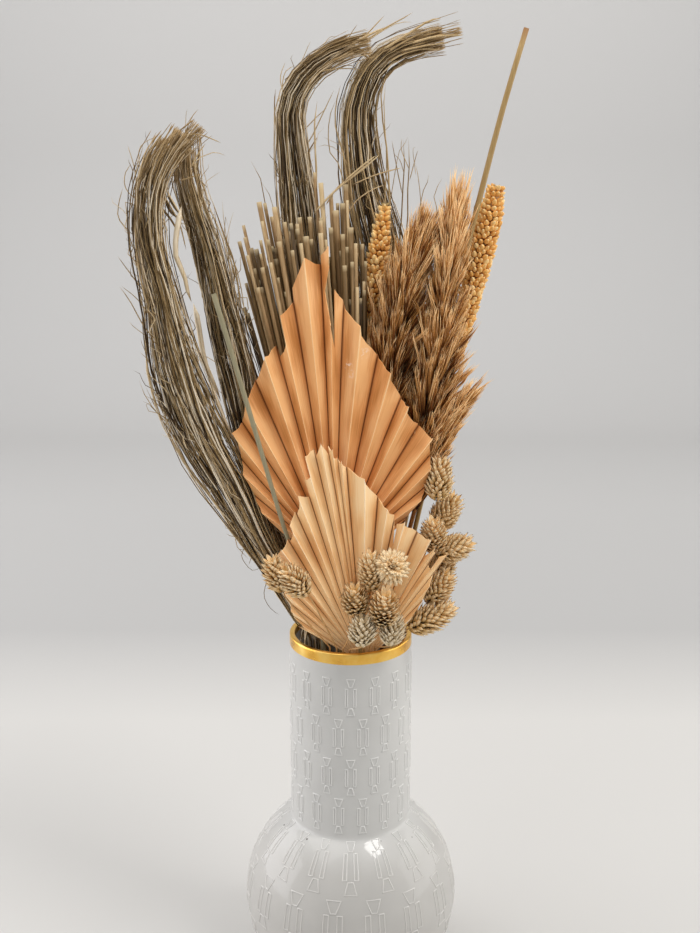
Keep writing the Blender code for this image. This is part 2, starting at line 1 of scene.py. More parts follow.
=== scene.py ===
import math
import random

import bmesh
import bpy
from mathutils import Matrix, Vector


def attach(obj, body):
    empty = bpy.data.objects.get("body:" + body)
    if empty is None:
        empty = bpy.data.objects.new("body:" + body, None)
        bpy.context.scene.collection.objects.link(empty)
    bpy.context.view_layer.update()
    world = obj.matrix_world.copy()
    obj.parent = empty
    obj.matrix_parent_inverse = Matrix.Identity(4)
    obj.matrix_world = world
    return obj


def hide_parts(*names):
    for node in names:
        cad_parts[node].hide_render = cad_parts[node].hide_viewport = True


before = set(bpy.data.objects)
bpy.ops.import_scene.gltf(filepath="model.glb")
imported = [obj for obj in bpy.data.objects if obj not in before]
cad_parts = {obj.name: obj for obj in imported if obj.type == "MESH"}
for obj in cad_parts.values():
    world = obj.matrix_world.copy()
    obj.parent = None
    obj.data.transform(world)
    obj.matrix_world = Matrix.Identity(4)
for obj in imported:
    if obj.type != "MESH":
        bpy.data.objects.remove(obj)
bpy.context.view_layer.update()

# All sizes below are in millimetres, X right, Y away from the camera, Z up.
mm = 0.001
pieces = bpy.data.collections.new("dressed_pieces")
bpy.context.scene.collection.children.link(pieces)


# Colours and nodes

def toLinear(code):   # sRGB hex to the linear values that shaders take
    parts = [int(code[i:i + 2], 16) / 255 for i in (0, 2, 4)]
    return (*[p / 12.92 if p <= 0.04045 else ((p + 0.055) / 1.055) ** 2.4 for p in parts], 1.0)


def addNode(tree, kind, inputs=None, stops=(), **properties):
    # Adds a node. An input is given a value or the socket that it is linked to; stops fill a colour ramp.
    node = tree.nodes.new("ShaderNode" + kind)
    for name, value in properties.items():
        setattr(node, name, value)
    for name, value in (inputs or {}).items():
        if isinstance(value, bpy.types.NodeSocket):
            tree.links.new(value, node.inputs[name])
        else:
            node.inputs[name].default_value = value
    for k, (place, code) in enumerate(stops):
        elements = node.color_ramp.elements
        element = elements[k] if k < 2 else elements.new(place)
        element.position = place
        element.color = toLinear(code)
    return node


def newMaterial(name):
    material = bpy.data.materials.new(name)
    material.use_nodes = True
    material.node_tree.nodes.clear()
    return material, material.node_tree


def finishShader(tree, inputs):
    shader = addNode(tree, "BsdfPrincipled", inputs)
    addNode(tree, "OutputMaterial", {"Surface": shader.outputs["BSDF"]})


# Routes and shaping

goldenTurn = 2.39996   # radians; one such turn after another spreads things evenly round a stem


def clamp(value, low=0.0, high=1.0):
    return min(high, max(low, value))


def smoothRoute(points, count):
    # Evenly spaced points on the smooth curve through the given ones
    points = [Vector(p) for p in points]
    ends = [points[0] * 2 - points[1], *points, points[-1] * 2 - points[-2]]
    fine = []
    for a, b, c, d in zip(ends, ends[1:], ends[2:], ends[3:]):
        for step in range(12):
            t = step / 12
            fine.append(0.5 * (2 * b + (c - a) * t + (2 * a - 5 * b + 4 * c - d) * t ** 2
                               + (3 * b - a - 3 * c + d) * t ** 3))
    fine.append(points[-1])
    lengths = [0.0]
    for a, b in zip(fine, fine[1:]):
        lengths.append(lengths[-1] + (b - a).length)
    route, i = [], 0
    for k in range(count):
        wanted = lengths[-1] * k / (count - 1)
        while i < len(fine) - 2 and lengths[i + 1] < wanted:
            i += 1
        share = (wanted - lengths[i]) / max(lengths[i + 1] - lengths[i], 1e-9)
        route.append(fine[i].lerp(fine[i + 1], min(share, 1.0)))
    return route


def along(route, t):   # point and direction at a share t of a route
    place = clamp(t, high=0.9999) * (len(route) - 1)
    i = int(place)
    return route[i].lerp(route[i + 1], place - i), (route[i + 1] - route[i]).normalized()


def valueAt(values, t):
    place = clamp(t, high=0.9999) * (len(values) - 1)
    i = int(place)
    return values[i] + (values[i + 1] - values[i]) * (place - i)


def sidesOf(heading):   # two directions square to a heading
    across = heading.cross(Vector((0, 1, 0)))
    if across.length < 0.1:
        across = heading.cross(Vector((1, 0, 0)))
    across.normalize()
    return across, heading.cross(across)


def spoke(across, through, turn):   # the direction at an angle between two others that are square
    return across * math.cos(turn) + through * math.sin(turn)


# how stalks stand inside the vase: height of their feet, share by which the feet draw in from the mouth,
# height of the mouth and how far from its middle they may be, length of the cap that closes a stalk
stand = {"floor": 5.3, "drawIn": 0.62, "mouth": 246, "reach": 34.4, "cap": 0.05}


def footUnder(slot):
    return Vector((slot[0] * stand["drawIn"], slot[1] * stand["drawIn"], stand["floor"]))


def atMouth(slot):
    return Vector((slot[0], slot[1], stand["mouth"]))


def closedFoot(foot):   # the first two points of a stalk
    return [foot - Vector((0, 0, stand["cap"])), foot]


# Meshes and objects

def asMesh(work, name):   # a mesh from a finished bmesh
    mesh = bpy.data.meshes.new(name)
    work.to_mesh(mesh)
    work.free()
    return mesh


def addObject(name, data):
    added = bpy.data.objects.new(name, data)
    bpy.context.scene.collection.objects.link(added)
    return added


def strandMesh(name, strands, sides=4):
    # One mesh for many stalks, strands or hairs. Each is (points, radii, tone), with radius 0 at both ends.
    # Its surface carries "tone", one value a strand, and "along", from 0 at the root to 1 at the tip.
    curve = bpy.data.curves.new(name, "CURVE")
    curve.dimensions = "3D"
    curve.bevel_depth = mm
    curve.bevel_resolution = (sides - 4) // 2
    curve.use_fill_caps = False
    tones, alongs = [], []
    for points, radii, tone in strands:
        spline = curve.splines.new("POLY")
        spline.points.add(len(points) - 1)
        lengths = [0.0]
        for a, b in zip(points, points[1:]):
            lengths.append(lengths[-1] + (b - a).length)
        for point, place, radius, length in zip(spline.points, points, radii, lengths):
            point.co = (*(place * mm), 1.0)
            point.radius = radius
            tones += [tone] * sides
            alongs += [length / lengths[-1]] * sides
    holder = addObject(name, curve)
    graph = bpy.context.evaluated_depsgraph_get()
    mesh = bpy.data.meshes.new_from_object(holder.evaluated_get(graph))
    bpy.data.objects.remove(holder)
    bpy.data.curves.remove(curve)
    mesh.attributes.new("tone", "FLOAT", "POINT").data.foreach_set("value", tones)
    mesh.attributes.new("along", "FLOAT", "POINT").data.foreach_set("value", alongs)
    work = bmesh.new()
    work.from_mesh(mesh)
    bmesh.ops.remove_doubles(work, verts=work.verts, dist=1e-6)
    bmesh.ops.recalc_face_normals(work, faces=work.faces)
    work.to_mesh(mesh)
    work.free()
    return mesh


def placePiece(mesh, materials, node, crisp=0):
    # Makes the mesh a piece that stands for the CAD node; edges sharper than crisp degrees stay sharp
    mesh.shade_smooth()
    if crisp:
        mesh.set_sharp_from_angle(angle=math.radians(crisp))
    for material in materials:
        mesh.materials.append(material)
    piece = bpy.data.objects.new(mesh.name, mesh)
    pieces.objects.link(piece)
    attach(piece, "root")
    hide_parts(node)


def finishPiece(name, meshes, materials, node, crisp=0):
    # Joins the meshes, one material for each, in one piece
    work = bmesh.new()
    for index, mesh in enumerate(meshes):
        mesh.polygons.foreach_set("material_index", [index] * len(mesh.polygons))
        work.from_mesh(mesh)
        bpy.data.meshes.remove(mesh)
    placePiece(asMesh(work, name), materials, node, crisp)


# Vase: slip-cast porcelain with a raised pattern under a clear glaze, and a fired gilt band

vase = {
    "height": 248, "neckRadius": 39, "neckBase": 121, "globeRadius": 70, "wall": 3.5, "floor": 5,
    "rimRound": 1.2, "footBevel": 1, "steps": 144, "giltFrom": 241, "innerGiltFrom": 243, "crisp": 75,
    # heights of the mesh's rings inside and outside the neck, and how far out and up the joint's rings are
    "innerRings": (150, 200), "outerRings": (200, 160), "joint": ((0, 3.5), (0, 1.5), (0.3, 0.3)),
    # pin holes in the glaze: place, radius, how dark
    "pinHoles": [(-43.8, -13, 115.9, 0.8, 0.9), (-28, -33, 117.9, 0.8, 0.9), (-33, -31, 116, 0.5, 0.5),
                 (19.4, -37, 119, 0.5, 0.5), (39.8, -25.3, 114.6, 0.6, 0.6), (22, 41, 115.4, 0.6, 0.6)],
}
relief = {
    # motifs round the vase, a line's width and height, how far its foot is sunk in the wall, the share of its
    # width that each flank takes, cuts across a motif so that it follows the globe
    "around": 16, "line": 1.15, "raise": 0.42, "sunk": 0.15, "flank": 0.36, "cuts": 7,
    # half widths in degrees round the vase: upper wedge, block, channel in the block, lower wedge
    "wedgeTop": 4.7, "wedgeNeck": 1.9, "block": 5.6, "channel": 1.9, "footNeck": 2.1, "footWide": 4.3,
    # rows: way down the outside from the rim, wedge, block and foot heights, radius, half steps turned
    "rows": [(16.0, 6.4, 13.0, 5.8, 39, 0), (43.2, 6.4, 13.0, 5.8, 39, 1), (70.6, 6.4, 13.0, 5.8, 39, 0),
             (97.9, 6.4, 13.0, 5.8, 39, 1), (127.8, 7.6, 17.6, 8.8, 56, 0), (164.2, 9.0, 17.6, 8.8, 68, 1.15),
             (202.0, 9.0, 17.6, 8.8, 67, 0), (239.6, 8.0, 14.0, 4.0, 52, 1)],
}


def arcPoints(centre, radius, first, last, steps):
    # (r, z) places on a circle, angles in degrees from straight down
    points = []
    for k in range(steps + 1):
        turn = math.radians(first + (last - first) * k / steps)
        points.append((centre[0] + radius * math.sin(turn), centre[1] - radius * math.cos(turn)))
    return points


globeCentre = vase["neckBase"] - math.sqrt(vase["globeRadius"] ** 2 - vase["neckRadius"] ** 2)
junction = math.asin(vase["neckRadius"] / vase["globeRadius"])   # angle of the neck's foot from straight up


def vaseProfile():
    big, neck, wall, top, rim = (vase[k] for k in ("globeRadius", "neckRadius", "wall", "height", "rimRound"))
    inner, innerNeck = big - wall, neck - wall
    first = math.degrees(math.acos((globeCentre - vase["floor"]) / inner))
    inside = arcPoints((0, globeCentre), inner, first, 180 - math.degrees(math.asin(innerNeck / inner)), 18)
    innerNeckLine = [(innerNeck, z) for z in (*vase["innerRings"], vase["innerGiltFrom"])]
    rimLine = arcPoints((innerNeck + rim, top - rim), rim, 270, 180, 5)
    rimLine += arcPoints((neck - rim, top - rim), rim, 180, 90, 5)
    neckLine = [(neck, z) for z in (vase["giltFrom"], *vase["outerRings"])]
    neckLine += [(neck + out, vase["neckBase"] + up) for out, up in vase["joint"]]
    last = math.degrees(math.acos((globeCentre - vase["footBevel"]) / big))
    shoulder = 180 - math.degrees(junction)
    outside = arcPoints((0, globeCentre), big, shoulder - 1.0, shoulder - 3.0, 1)
    outside += arcPoints((0, globeCentre), big, shoulder - 5.0, last, 34)
    foot = [(outside[-1][0] - vase["footBevel"], 0.0), (0.0, 0.0)]
    return [(0.0, vase["floor"]), *inside, *innerNeckLine, *rimLine, *neckLine, *outside, *foot]


def onVase(angle, way, out):
    # A place on the outside: angle round it, way down from the rim, height above the surface
    neckLength = vase["height"] - vase["neckBase"]
    if way < neckLength:
        r, z = vase["neckRadius"] + out, vase["height"] - way
    else:
        turn = junction + (way - neckLength) / vase["globeRadius"]
        r = (vase["globeRadius"] + out) * math.sin(turn)
        z = globeCentre + (vase["globeRadius"] + out) * math.cos(turn)
    return Vector((r * math.sin(angle), -r * math.cos(angle), z))


def addReliefRow(whole, row):
    # One motif's outlines are drawn flat, raised in three insets, laid on the vase and spun round it
    start, wedge, block, foot, radius, turned = row
    keys = ("wedgeTop", "wedgeNeck", "block", "channel", "footNeck", "footWide")
    broad, narrow, side, gap, ankle, sole = (math.radians(relief[k]) * radius for k in keys)
    waist, hem, end = start + wedge, start + wedge + block, start + wedge + block + foot

    def trapezium(topLeft, topRight, top, lowLeft, lowRight, low):
        return [(topLeft, top), (lowLeft, low), (lowRight, low), (topRight, top)]

    outlines = [trapezium(-broad, broad, start, -narrow, narrow, waist),
                trapezium(-side, -gap, waist, -side, -gap, hem), trapezium(gap, side, waist, gap, side, hem),
                trapezium(-ankle, ankle, hem, -sole, sole, end)]
    work = bmesh.new()
    for outline in outlines:
        work.faces.new([work.verts.new((x, -way, -relief["sunk"])) for x, way in outline])
    work.normal_update()
    slope = relief["line"] * relief["flank"]
    rise = relief["raise"] + relief["sunk"]
    strips = set()
    for thickness, depth in ((slope, rise), (relief["line"] - 2 * slope, 0.0), (slope, -rise)):
        panels = [f for f in work.faces if f not in strips]
        made = bmesh.ops.inset_individual(work, faces=panels, thickness=thickness, depth=depth,
                                          use_even_offset=True)
        strips.update(made["faces"])
    bmesh.ops.delete(work, geom=[f for f in work.faces if f not in strips], context="FACES_ONLY")
    for k in range(1, relief["cuts"]):
        way = start + (end - start) * k / relief["cuts"]
        bmesh.ops.bisect_plane(work, geom=work.verts[:] + work.edges[:] + work.faces[:], dist=1e-5,
                               plane_co=(0, -way, 0), plane_no=(0, 1, 0))
    raised = work.verts.layers.float.new("raised")
    for vert in work.verts:
        vert[raised] = 1.0 if vert.co.z > 0 else 0.0
        vert.co = onVase(vert.co.x / radius, -vert.co.y, vert.co.z) * mm
    step = 2 * math.pi / relief["around"]
    bmesh.ops.rotate(work, verts=work.verts, cent=(0, 0, 0),
                     matrix=Matrix.Rotation(turned * step / 2, 3, "Z"))
    bmesh.ops.spin(work, geom=work.verts[:] + work.edges[:] + work.faces[:], cent=(0, 0, 0), axis=(0, 0, 1),
                   dvec=(0, 0, 0), angle=step * (relief["around"] - 1), steps=relief["around"] - 1,
                   use_duplicate=True)
    bmesh.ops.recalc_face_normals(work, faces=work.faces)
    patch = asMesh(work, "row")
    whole.from_mesh(patch)
    bpy.data.meshes.remove(patch)


def makeVase(materials):
    work = bmesh.new()
    line = [work.verts.new((r * mm, 0.0, z * mm)) for r, z in vaseProfile()]
    edges = [work.edges.new(pair) for pair in zip(line, line[1:])]
    bmesh.ops.spin(work, geom=line + edges, cent=(0, 0, 0), axis=(0, 0, 1), dvec=(0, 0, 0),
                   angle=2 * math.pi, steps=vase["steps"], use_merge=True)
    bmesh.ops.remove_doubles(work, verts=work.verts, dist=1e-6)
    bmesh.ops.recalc_face_normals(work, faces=work.faces)
    work.verts.layers.float.new("raised")
    for row in relief["rows"]:
        addReliefRow(work, row)
    for face in work.faces:
        middle = face.calc_center_median() / mm
        outer = math.hypot(middle.x, middle.y) > vase["neckRadius"] - vase["wall"] / 2
        face.material_index = 1 if middle.z > vase["giltFrom" if outer else "innerGiltFrom"] else 0
    placePiece(asMesh(work, "porcelain_vase"), materials, "vase", vase["crisp"])


def glazedPorcelain():
    # White fired porcelain: clear glaze gives a wet gloss, faint grey mottle and a few dark pin holes.
    # The raised lines are painted lighter, a painted highlight, and the round body below the neck's
    # foot is painted a shade darker and warmer, painted shade.
    material, tree = newMaterial("glazed_porcelain")
    place = addNode(tree, "TexCoord").outputs["Object"]
    mottle = addNode(tree, "TexNoise", {"Vector": place, "Scale": 30, "Detail": 3}).outputs["Fac"]
    body = addNode(tree, "ValToRGB", {"Fac": mottle}, stops=[(0.3, "C4C3C0"),
                                                             (0.7, "CCCBC8")]).outputs["Color"]
    height = addNode(tree, "SeparateXYZ", {"Vector": place}).outputs["Z"]
    # painted shade: the round body below the neck's foot is multiplied a shade darker and warmer
    globeShade = addNode(tree, "MapRange", {"Value": height, "From Min": (vase["neckBase"] - 16) * mm,
                                        "From Max": (vase["neckBase"] + 3) * mm,
                                        "To Min": 1.0, "To Max": 0.0})
    # painted highlight: the raised lines are mixed towards a lighter colour
    rib = addNode(tree, "Attribute", attribute_name="raised").outputs["Fac"]
    ribHighlight = addNode(tree, "Math", {0: rib, 1: 0.7}, operation="MULTIPLY").outputs[0]
    colour = addNode(tree, "Mix", {0: ribHighlight, 6: body, 7: toLinear("E4E3E0")},
                     data_type="RGBA").outputs[2]
    colour = addNode(tree, "Mix", {0: globeShade.outputs["Result"], 6: colour, 7: toLinear("EFEDEB")},
                     data_type="RGBA", blend_type="MULTIPLY").outputs[2]
    for hole in vase["pinHoles"]:
        away = addNode(tree, "VectorMath", {0: place, 1: [p * mm for p in hole[:3]]}, operation="DISTANCE")
        dot = addNode(tree, "MapRange", {"Value": away.outputs["Value"], "From Min": hole[3] * 0.6 * mm,
                                         "From Max": hole[3] * mm, "To Min": hole[4], "To Max": 0.0})
        colour = addNode(tree, "Mix", {0: dot.outputs["Result"], 6: colour, 7: toLinear("4A423A")},
                         data_type="RGBA").outputs[2]
    waves = addNode(tree, "TexNoise", {"Vector": place, "Scale": 160, "Detail": 1}).outputs["Fac"]
    bump = addNode(tree, "Bump", {"Height": waves, "Strength": 0.05, "Distance": 0.0004})
    finishShader(tree, {"Base Color": colour, "Roughness": 0.38, "IOR": 1.5, "Specular IOR Level": 0.3,
                        "Coat Weight": 0.6, "Coat Roughness": 0.05, "Normal": bump.outputs["Normal"]})
    return material


def firedGilt():
    # Fired-on liquid gold: thin metal film, soft reflections, brush-lap seams and small rubbed spots
    material, tree = newMaterial("fired_gilt")
    place = addNode(tree, "TexCoord").outputs["Object"]
    cloud = addNode(tree, "TexNoise", {"Vector": place, "Scale": 70, "Detail": 4}).outputs["Fac"]
    film = addNode(tree, "ValToRGB", {"Fac": cloud},
                   stops=[(0.25, "D09A42"), (0.45, "F0BC58"), (0.7, "FBD880")])
    rubs = addNode(tree, "TexNoise", {"Vector": place, "Scale": 230, "Detail": 2}).outputs["Fac"]
    worn = addNode(tree, "MapRange", {"Value": rubs, "From Min": 0.70, "From Max": 0.78})
    colour = addNode(tree, "Mix", {0: worn.outputs["Result"], 6: film.outputs["Color"],
                                   7: toLinear("7A5A30")}, data_type="RGBA")
    rough = addNode(tree, "MapRange", {"Value": cloud, "From Min": 0.3, "From Max": 0.7,
                                       "To Min": 0.24, "To Max": 0.4})
    finishShader(tree, {"Base Color": colour.outputs[2], "Metallic": 1.0,
                        "Roughness": rough.outputs["Result"]})
    return material


# Dried plants: their materials

plantLooks = {
    # base colours from dark to light, tip colour, where the tip starts, lighter from root to tip by (on the
    # plume down and the canary glumes the darker roots, deep among the others, are painted shade),
    # roughness, streak width, streak length
    "dried_grass": (["3C2C1A", "8A7048", "CBB084", "F2E6D0"], "AE9064", 0.93, -0.14, 0.65, 0.5, 10),
    "dried_reed": (["3A2C1C", "7C623E", "A88860", "D2BA90"], "D8C49C", 0.992, 0.06, 0.5, 0.7, 60),
    "tan_reed": (["7A5F36", "97794A", "AC8F5F", "C0A678"], "8F6240", 0.985, 0.0, 0.5, 0.7, 60),
    "green_straw": (["665E4A", "878064", "9C9478", "B6AE92"], "8C8468", 0.97, 0.0, 0.5, 0.5, 50),
    "reed_plume_down": (["2C1506", "8E5526", "D29A56", "FBD29A"], "FBDAAA", 0.80, 0.45, 0.65, 0.4, 12),
    "millet_grain": (["8A5220", "D89A4E", "F0B868", "FAD694"], "FBE6B6", 0.85, 0.30, 0.5, 0.8, 3),
    "canary_grass_glume": (["48341A", "CEA462", "F6D096", "FFE6BC"], "FFE6BC", 0.5, 0.72, 0.55, 0.4, 6),
    "pale_canary_glume": (["4A3C26", "B49C70", "E0CAA0", "F8E6C6"], "F8E6C8", 0.5, 0.8, 0.55, 0.4, 6),
    "pale_stalk": (["8A6438", "B98C58", "D6A870", "E6C090"], "C8A070", 0.9, 0.0, 0.55, 0.4, 40),
    "wiry_stalk": (["6A532C", "927645", "AB8D58", "C4A974"], "A08F62", 0.9, 0.0, 0.55, 0.4, 40),
}


def driedPlant(name):
    # Dead plant tissue: dull, streaked along its length by its fibres, each strand of its own shade, and of
    # another colour at the tip
    colours, tip, tipFrom, lighter, roughness, width, length = plantLooks[name]
    material, tree = newMaterial(name)
    tone = addNode(tree, "Attribute", attribute_name="tone").outputs["Fac"]
    run = addNode(tree, "Attribute", attribute_name="along").outputs["Fac"]
    place = addNode(tree, "TexCoord").outputs["Object"]
    stretch = addNode(tree, "Mapping", {"Vector": place, "Scale": (1000 / width, 1000 / width,
                                                                   1000 / length)})
    streak = addNode(tree, "TexNoise", {"Vector": stretch.outputs["Vector"], "Scale": 1.0, "Detail": 2})
    shift = addNode(tree, "Math", {0: streak.outputs["Fac"], 1: -0.5}, operation="ADD")
    blend = addNode(tree, "Math", {0: shift.outputs[0], 1: 0.6, 2: tone}, operation="MULTIPLY_ADD")
    # lighter from root to tip; on the plume down and canary glumes the darker roots are painted shade
    fromMiddle = addNode(tree, "Math", {0: run, 1: -0.5}, operation="ADD")
    graded = addNode(tree, "Math", {0: fromMiddle.outputs[0], 1: lighter, 2: blend.outputs[0]},
                     operation="MULTIPLY_ADD")
    base = addNode(tree, "ValToRGB", {"Fac": graded.outputs[0]},
                   stops=[(0.0, colours[0]), (1.0, colours[3]), (0.35, colours[1]), (0.68, colours[2])])
    atTip = addNode(tree, "MapRange", {"Value": run, "From Min": tipFrom, "From Max": 1.0, "To Max": 0.75})
    colour = addNode(tree, "Mix", {0: atTip.outputs["Result"], 6: base.outputs["Color"], 7: toLinear(tip)},
                     data_type="RGBA")
    bump = addNode(tree, "Bump", {"Height": streak.outputs["Fac"], "Strength": 0.35, "Distance": 0.0003})
    finishShader(tree, {"Base Color": colour.outputs[2], "Roughness": roughness, "Specular IOR Level": 0.2,
                        "Normal": bump.outputs["Normal"]})
    return material


palmLooks = {
    # crease (painted shade), facet from dark to light, ridge (painted highlight)
    "dried_palm_deep": ["844822", "CF8D4E", "E6A465", "F4BA7C", "FFDDA8"],
    "dried_palm_pale": ["985C2C", "E8B074", "F8CA90", "FDD8A4", "FFF0D2"],
}


def driedPalm(name, scuffs):
    # Dried, pressed palm leaf: satin tan skin with fine veins from the hub. Painted shade darkens the
    # creases and each facet towards its crease, and a painted highlight makes the ridges pale.
    crease, dark, middle, light, ridge = palmLooks[name]
    material, tree = newMaterial(name)
    leaf = addNode(tree, "Attribute", attribute_name="leaf")   # fold number, radius, height on the fold
    part = addNode(tree, "SeparateXYZ", {"Vector": leaf.outputs["Vector"]})
    veinPlace = addNode(tree, "Mapping", {"Vector": leaf.outputs["Vector"], "Scale": (13, 0.05, 0.0)})
    veins = addNode(tree, "TexNoise", {"Vector": veinPlace.outputs["Vector"], "Scale": 1.0, "Detail": 2})
    patchPlace = addNode(tree, "Mapping", {"Vector": leaf.outputs["Vector"], "Scale": (0.9, 0.03, 0.0)})
    patch = addNode(tree, "TexNoise", {"Vector": patchPlace.outputs["Vector"], "Scale": 1.0, "Detail": 1})
    mixed = addNode(tree, "Math", {0: veins.outputs["Fac"], 1: 0.55, 2: patch.outputs["Fac"]},
                    operation="MULTIPLY_ADD")
    # painted shade: each facet is darker towards its crease and lighter towards its ridge
    graded = addNode(tree, "Math", {0: part.outputs["Z"], 1: 0.14, 2: mixed.outputs[0]},
                     operation="MULTIPLY_ADD")
    facet = addNode(tree, "ValToRGB", {"Fac": graded.outputs[0]},
                    stops=[(0.60, dark), (0.96, light), (0.80, middle)])
    # painted shade: the creases are mixed towards the dark crease colour
    low = addNode(tree, "MapRange", {"Value": part.outputs["Z"], "From Min": 0.0, "From Max": 0.11,
                                     "To Min": 0.95, "To Max": 0.0})
    # painted highlight: the ridges are mixed towards a pale colour
    high = addNode(tree, "MapRange", {"Value": part.outputs["Z"], "From Min": 0.93, "From Max": 0.99,
                                      "To Min": 0.0, "To Max": 0.8})
    creaseShaded = addNode(tree, "Mix", {0: low.outputs["Result"], 6: facet.outputs["Color"], 7: toLinear(crease)},
                      data_type="RGBA")
    colour = addNode(tree, "Mix", {0: high.outputs["Result"], 6: creaseShaded.outputs[2], 7: toLinear(ridge)},
                     data_type="RGBA").outputs[2]
    place = addNode(tree, "TexCoord").outputs["Object"]
    scratch = addNode(tree, "TexNoise", {"Vector": place, "Scale": 450, "Detail": 2}).outputs["Fac"]
    for spot, radius in scuffs:   # skin rubbed off in pale flecks
        away = addNode(tree, "VectorMath", {0: place, 1: [p * mm for p in spot]}, operation="DISTANCE")
        near = addNode(tree, "MapRange", {"Value": away.outputs["Value"], "From Min": 0.0,
                                          "From Max": radius * mm, "To Min": 1.0, "To Max": 0.0})
        fleck = addNode(tree, "MapRange", {"Value": scratch, "From Min": 0.52, "From Max": 0.60,
                                           "To Max": 1.0})
        rubbed = addNode(tree, "Math", {0: fleck.outputs["Result"], 1: near.outputs["Result"]},
                         operation="MULTIPLY")
        colour = addNode(tree, "Mix", {0: rubbed.outputs[0], 6: colour, 7: toLinear("FBE9DC")},
                         data_type="RGBA").outputs[2]
    bump = addNode(tree, "Bump", {"Height": veins.outputs["Fac"], "Strength": 0.25, "Distance": 0.0003})
    finishShader(tree, {"Base Color": colour, "Roughness": 0.46, "Specular IOR Level": 0.4,
                        "Normal": bump.outputs["Normal"]})
    return material


# Palm leaves, pleated fans

largeLeaf = {
    "hub": (-9.7, -12, 297), "slot": (-5, -9), "lean": -0.02, "cup": 0.0006, "fold": 0.47, "seed": 51,
    # each fold line's angle from upright in degrees and how far the facets at its left and right reach
    "folds": [(-59, 36, 36), (-53, 54, 54), (-48.5, 66, 65), (-44, 78, 78), (-40.5, 87, 87),
              (-36.5, 97, 102.5), (-32, 105, 105), (-27.5, 113, 113), (-22.5, 124, 123), (-17.5, 135, 135),
              (-14.2, 140.5, 133), (-11.6, 139, 156), (-8.4, 163, 170.5), (-5.2, 187.5, 188),
              (-2.4, 184, 189), (-0.9, 194, 174), (2, 162, 158.5), (6, 147.7, 143.6), (11.2, 133, 131.5),
              (15.5, 124, 122), (20.9, 111.8, 111), (23.8, 108.5, 104.8), (30.2, 101, 100.5),
              (36.2, 98.5, 96.5), (40, 90, 90), (43.5, 83.5, 83), (48.5, 74, 74), (52, 66, 65),
              (56, 53, 53), (60, 38, 38)],
    # cuts through the blade, (x, z) corners
    "cuts": [[(-9.4, 432), (-15.3, 466), (-10.6, 492), (-6.5, 492), (-9.2, 469)]],
    # rubbed places: middle, radius
    "scuffs": [((6, -14, 430), 5.5), ((-1, -14, 422), 4.0), ((2, -14, 417), 4.5)],
}
smallLeaf = {
    "hub": (7.8, -24, 236.6), "slot": (8.5, -19), "lean": -0.05, "cup": 0.0008, "fold": 0.47, "seed": 52,
    "folds": [(-59.5, 47, 46), (-57, 38, 42), (-54.5, 53, 53), (-52, 56, 56), (-49, 59.5, 59.5),
              (-46, 65.5, 65.5), (-43.2, 71.5, 71.5), (-40.2, 77.5, 77.5), (-37.3, 83, 87.5),
              (-33.4, 89.5, 89), (-29.6, 92.5, 90.5), (-26.1, 95, 100), (-22.6, 106, 103.5),
              (-19.7, 112, 115.5), (-16.7, 112.5, 124), (-14.6, 124, 138), (-12.1, 141, 135.5),
              (-10.1, 143.5, 143.5), (-8.7, 136, 141), (-7.7, 138, 134), (-6.7, 133, 132), (-5.8, 130, 130),
              (-4.7, 127, 127), (0.3, 119, 117), (4.5, 108, 107), (7.9, 101, 101), (11.1, 97.5, 91.5),
              (14.7, 96, 94), (20.9, 91.3, 91), (26.5, 89.8, 88), (27.7, 78, 79), (29.6, 86, 86),
              (31.2, 84, 76), (33.2, 73, 83), (35.9, 87, 72), (38.3, 63.5, 63), (41.4, 55, 55),
              (44.4, 40, 40)],
    "cuts": [[(25.2, 313), (25.9, 322), (26.4, 345), (28.6, 345), (27.4, 324)]],
    "scuffs": [],
}
# columns are shares of a facet's width; crease is how far the folds' veins stand out and in, vein their share
# of it; near is how far round a cut the mesh is divided
blade = {"hubRadius": 6, "foldFrom": 16, "foldFull": 46, "columns": (0, 0.07, 0.36, 0.64, 0.93), "rows": 30,
         "thickness": 0.5, "tooth": 1.2, "crease": 0.5, "vein": 0.07, "near": 4, "petiole": 2.2}


def leafPoint(leaf, angle, radius):
    turn = math.radians(angle)
    side = math.sin(turn) * radius
    hub = Vector(leaf["hub"])
    depth = leaf["lean"] * radius + leaf["cup"] * side ** 2
    return Vector((hub.x + side, hub.y + depth, hub.z + math.cos(turn) * radius))


def foldRise(leaf, ray, radius):   # how far a fold line stands in front of the leaf's middle
    folds = leaf["folds"]
    gap = (folds[min(ray + 1, len(folds) - 1)][0] - folds[max(ray - 1, 0)][0]) / 2
    opening = clamp((radius - blade["foldFrom"]) / (blade["foldFull"] - blade["foldFrom"]))
    return (1 if ray % 2 else -1) * opening * leaf["fold"] * radius * math.radians(gap)


def insideOutline(corners, x, z):
    inside = False
    for (x1, z1), (x2, z2) in zip(corners, corners[1:] + corners[:1]):
        if (z1 > z) != (z2 > z) and x < (x2 - x1) * (z - z1) / (z2 - z1) + x1:
            inside = not inside
    return inside


def cutThrough(work, corners):
    # Cuts the blade along each side of an outline in X and Z, then takes out what lies inside it
    low = [(min(c[i] for c in corners) - blade["near"]) * mm for i in (0, 1)]
    high = [(max(c[i] for c in corners) + blade["near"]) * mm for i in (0, 1)]
    for (x1, z1), (x2, z2) in zip(corners, corners[1:] + corners[:1]):
        near = [f for f in work.faces if low[0] < f.calc_center_median().x < high[0]
                and low[1] < f.calc_center_median().z < high[1]]
        edges = {e for f in near for e in f.edges}
        verts = {v for f in near for v in f.verts}
        bmesh.ops.bisect_plane(work, geom=near + list(edges) + list(verts), dist=1e-6,
                               plane_co=(x1 * mm, 0, z1 * mm), plane_no=(z2 - z1, 0, x1 - x2))
    gone = [f for f in work.faces if insideOutline(corners, f.calc_center_median().x / mm,
                                                   f.calc_center_median().z / mm)]
    bmesh.ops.delete(work, geom=gone, context="FACES")


